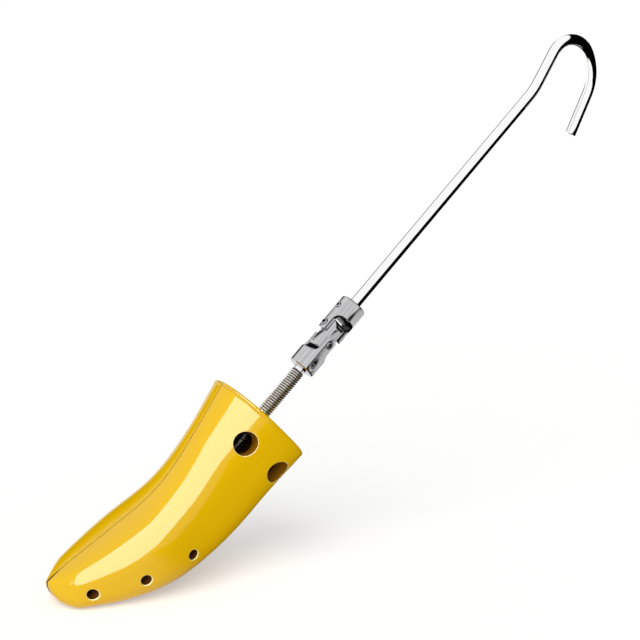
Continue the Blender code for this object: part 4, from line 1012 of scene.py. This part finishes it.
# The plates, block and washer inside the shell take near-black steel: painted shade of the hollow.
CARRIED = {
    "left_wedge_pad": NYLON, "right_wedge_pad": NYLON, "spreader_wedge": NYLON,
    "toe_pin": PIN, "toe_pin_clip": SPRING, "spine_plate": PLATE_SHADE, "nut_block": PLATE_SHADE,
    "spindle_nut": BRONZE, "upper_block_screw": PIN, "lower_block_screw": PIN,
    "thrust_washer": PLATE_SHADE, "spindle_clip": SPRING, "upper_return_spring": SPRING,
    "lower_return_spring": SPRING,
}


def dress_carried():
    for name, skin in CARRIED.items():
        for slot in NODES[name].material_slots:
            slot.material = skin


# Camera, stage and light

def make_camera():
    lens = bpy.data.cameras.new("camera")
    lens.lens = LENS
    lens.sensor_width = SENSOR
    camera = new_object("camera", lens)
    turn = Matrix((CAMERA_RIGHT, CAMERA_UP, CAMERA_BACK)).transposed().to_4x4()
    camera.matrix_world = Matrix.Translation(CAMERA) @ turn
    bpy.context.scene.camera = camera


def ramp(tree, value, start, end):
    """0 up to start, 1 past end, smooth between them."""
    node = tree.nodes.new("ShaderNodeMapRange")
    node.interpolation_type = "SMOOTHSTEP"
    node.inputs["From Min"].default_value = start
    node.inputs["From Max"].default_value = end
    tree.links.new(value, node.inputs["Value"])
    return node.outputs["Result"]


def combined(tree, operation, first, second):
    """The two values, each a socket or a number, through one math node."""
    node = tree.nodes.new("ShaderNodeMath")
    node.operation = operation
    for value, socket in zip((first, second), node.inputs):
        if isinstance(value, float):
            socket.default_value = value
        else:
            tree.links.new(value, socket)
    return node.outputs[0]


def parts_of(tree, vector):
    node = tree.nodes.new("ShaderNodeSeparateXYZ")
    tree.links.new(vector, node.inputs[0])
    return node.outputs


def seen_or_mirrored(tree):
    """1 for camera, glossy and transmission rays, else 0."""
    path = tree.nodes.new("ShaderNodeLightPath").outputs
    return combined(tree, "MAXIMUM", path["Is Transmission Ray"],
                    combined(tree, "MAXIMUM", path["Is Camera Ray"], path["Is Glossy Ray"]))


def light_for_mirrors(tree, dark):
    """1, except where a mirrored ray meets the studio's dark side."""
    path = tree.nodes.new("ShaderNodeLightPath")
    return combined(tree, "SUBTRACT", 1.0,
                    combined(tree, "MULTIPLY", path.outputs["Is Glossy Ray"], dark))


def make_world():
    """White to the camera; mirrors see a dark room to the right and low behind the object."""
    world = bpy.data.worlds.new("studio")
    bpy.context.scene.world = world
    world.use_nodes = True
    tree = world.node_tree
    sky = tree.nodes["Background"]
    way = parts_of(tree, tree.nodes.new("ShaderNodeTexCoord").outputs["Generated"])
    behind = combined(tree, "MULTIPLY", ramp(tree, way["Y"], *DARK_BEHIND),
                      ramp(tree, way["Z"], *DARK_ABOVE))
    dark = combined(tree, "MAXIMUM", ramp(tree, way["X"], *DARK_RIGHT), behind)
    level = combined(tree, "MAXIMUM", seen_or_mirrored(tree), WORLD_LEVEL)
    tree.links.new(combined(tree, "MULTIPLY", level, light_for_mirrors(tree, dark)),
                   sky.inputs["Strength"])
    sky.inputs["Color"].default_value = (1, 1, 1, 1)


def make_floor():
    """White to the camera under the object's shadow; mirrors see it fade to the right."""
    floor = new_object("floor", block(FLOOR_SIZE, (0, 0, -FLOOR_SIZE[2] / 2)))
    material = bpy.data.materials.new("white_floor")
    material.use_nodes = True
    tree = material.node_tree
    shader = tree.nodes["Principled BSDF"]
    place = parts_of(tree, tree.nodes.new("ShaderNodeTexCoord").outputs["Object"])
    across = combined(tree, "SUBTRACT",
                      combined(tree, "MULTIPLY", place["X"], FLOOR_DARK_SLOPE), place["Y"])
    dark = combined(tree, "MULTIPLY", ramp(tree, place["X"], *FLOOR_DARK_RIGHT),
                    ramp(tree, across, *FLOOR_DARK_SIDE))
    light = light_for_mirrors(tree, dark)
    tint = tree.nodes.new("ShaderNodeMix")
    tint.data_type = "RGBA"
    tint.inputs["A"].default_value = (0, 0, 0, 1)
    tint.inputs["B"].default_value = FLOOR_COLOUR
    tree.links.new(light, tint.inputs["Factor"])
    tree.links.new(tint.outputs["Result"], shader.inputs["Base Color"])
    shader.inputs["Roughness"].default_value = 0.9
    shader.inputs["Specular IOR Level"].default_value = 0.0
    shader.inputs["Emission Color"].default_value = FLOOR_GLOW
    tree.links.new(combined(tree, "MULTIPLY", seen_or_mirrored(tree), light),
                   shader.inputs["Emission Strength"])
    floor.data.materials.append(material)


def sun(name, direction, strength, spread):
    """A distant soft lamp that lights but isn't mirrored; direction points to it."""
    lamp = bpy.data.lights.new(name, "SUN")
    lamp.energy = strength
    lamp.angle = spread
    thing = new_object(name, lamp)
    thing.rotation_euler = Vector(direction).to_track_quat("Z", "Y").to_euler()
    thing.visible_glossy = False


def softbox(name, centre, long_way, toward, length, width, tone, pieces):
    """A flat lamp that only the named pieces mirror, and that lights nothing otherwise."""
    lamp = bpy.data.lights.new(name, "AREA")
    lamp.shape = "RECTANGLE"
    lamp.size, lamp.size_y = length, width
    lamp.energy = tone * pi * length * width
    thing = new_object(name, lamp)
    back = -Vector(toward).normalized()
    side = (Vector(long_way) - back * back.dot(Vector(long_way))).normalized()
    turn = Matrix((side, back.cross(side), back)).transposed().to_4x4()
    thing.matrix_world = Matrix.Translation(Vector(centre)) @ turn
    thing.visible_camera = False
    thing.visible_diffuse = False
    mirrors = bpy.data.collections.new(name)
    for piece in pieces:
        mirrors.objects.link(bpy.data.objects[piece])
    thing.light_linking.receiver_collection = mirrors


def make_lights():
    """The key, the strip along the near half and a fill on the steel joint's right side."""
    sun("key", KEY_DIRECTION, KEY_STRENGTH, KEY_SPREAD)
    softbox("softbox", centre=(-0.564, -0.365, 0.35), long_way=(-0.625, -0.518, -0.584),
            toward=(-0.051, 0.774, -0.631), length=1.81, width=1.18, tone=10.0,
            pieces=("skin_left_shell", "skin_right_shell"))
    softbox("fill", centre=(0.32, -0.05, 0.065), long_way=(0.21, 0.95, -0.23),
            toward=(-0.79, 0.22, 0.54), length=0.34, width=0.12, tone=0.8,
            pieces=("skin_lower_yoke", "skin_upper_yoke", "skin_link_block",
                    "skin_threaded_spindle", "skin_lower_pivot_pin", "skin_upper_pivot_pin",
                    "skin_lower_cross_pin", "skin_upper_cross_pin"))


make_shell("left_shell", -1, "left_half")
make_shell("right_shell", 1, "right_half")
make_spindle()
make_yoke("lower_yoke", NECK_RADIUS, LOWER_CROSS_PIN, Matrix.Translation((0, 0, JOINT_PLACE)),
          "spindle")
make_yoke("upper_yoke", ROD_RADIUS, UPPER_CROSS_PIN,
          Matrix.Translation((0, 0, JOINT_PLACE + JOINT_LENGTH))
          @ Matrix.Rotation(pi, 4, "X") @ Matrix.Rotation(pi / 2, 4, "Z"), "handle")
make_link()
make_pin("lower_pivot_pin", rivet_profile(PIVOT_PIN_RADIUS, PIVOT_PIN_HALF), LOWER_PIVOT,
         Matrix.Rotation(pi / 2, 4, "X"), "link", RIVET_SHADE_SHARE * PIVOT_PIN_RADIUS)
make_pin("upper_pivot_pin", tube_profile(PIVOT_PIN_RADIUS, PIVOT_BORE, PIVOT_PIN_HALF),
         UPPER_PIVOT, Matrix.Rotation(pi / 2, 4, "Y"), "link", PIVOT_BORE + SHADE_EDGE)
make_pin("lower_cross_pin", tube_profile(CROSS_PIN_RADIUS, LOWER_CROSS_BORE, LOWER_CROSS_HALF),
         JOINT_PLACE + LOWER_CROSS_PIN, Matrix.Rotation(pi / 2, 4, "X"), "spindle",
         LOWER_CROSS_BORE + SHADE_EDGE)
make_pin("upper_cross_pin", tube_profile(CROSS_PIN_RADIUS, UPPER_CROSS_BORE, UPPER_CROSS_HALF),
         JOINT_PLACE + JOINT_LENGTH - UPPER_CROSS_PIN, Matrix.Rotation(pi / 2, 4, "Y"), "handle",
         UPPER_CROSS_BORE + SHADE_EDGE)
make_rod()
dress_carried()
bpy.data.collections.remove(SCRATCH)

make_camera()
make_world()
make_floor()
make_lights()
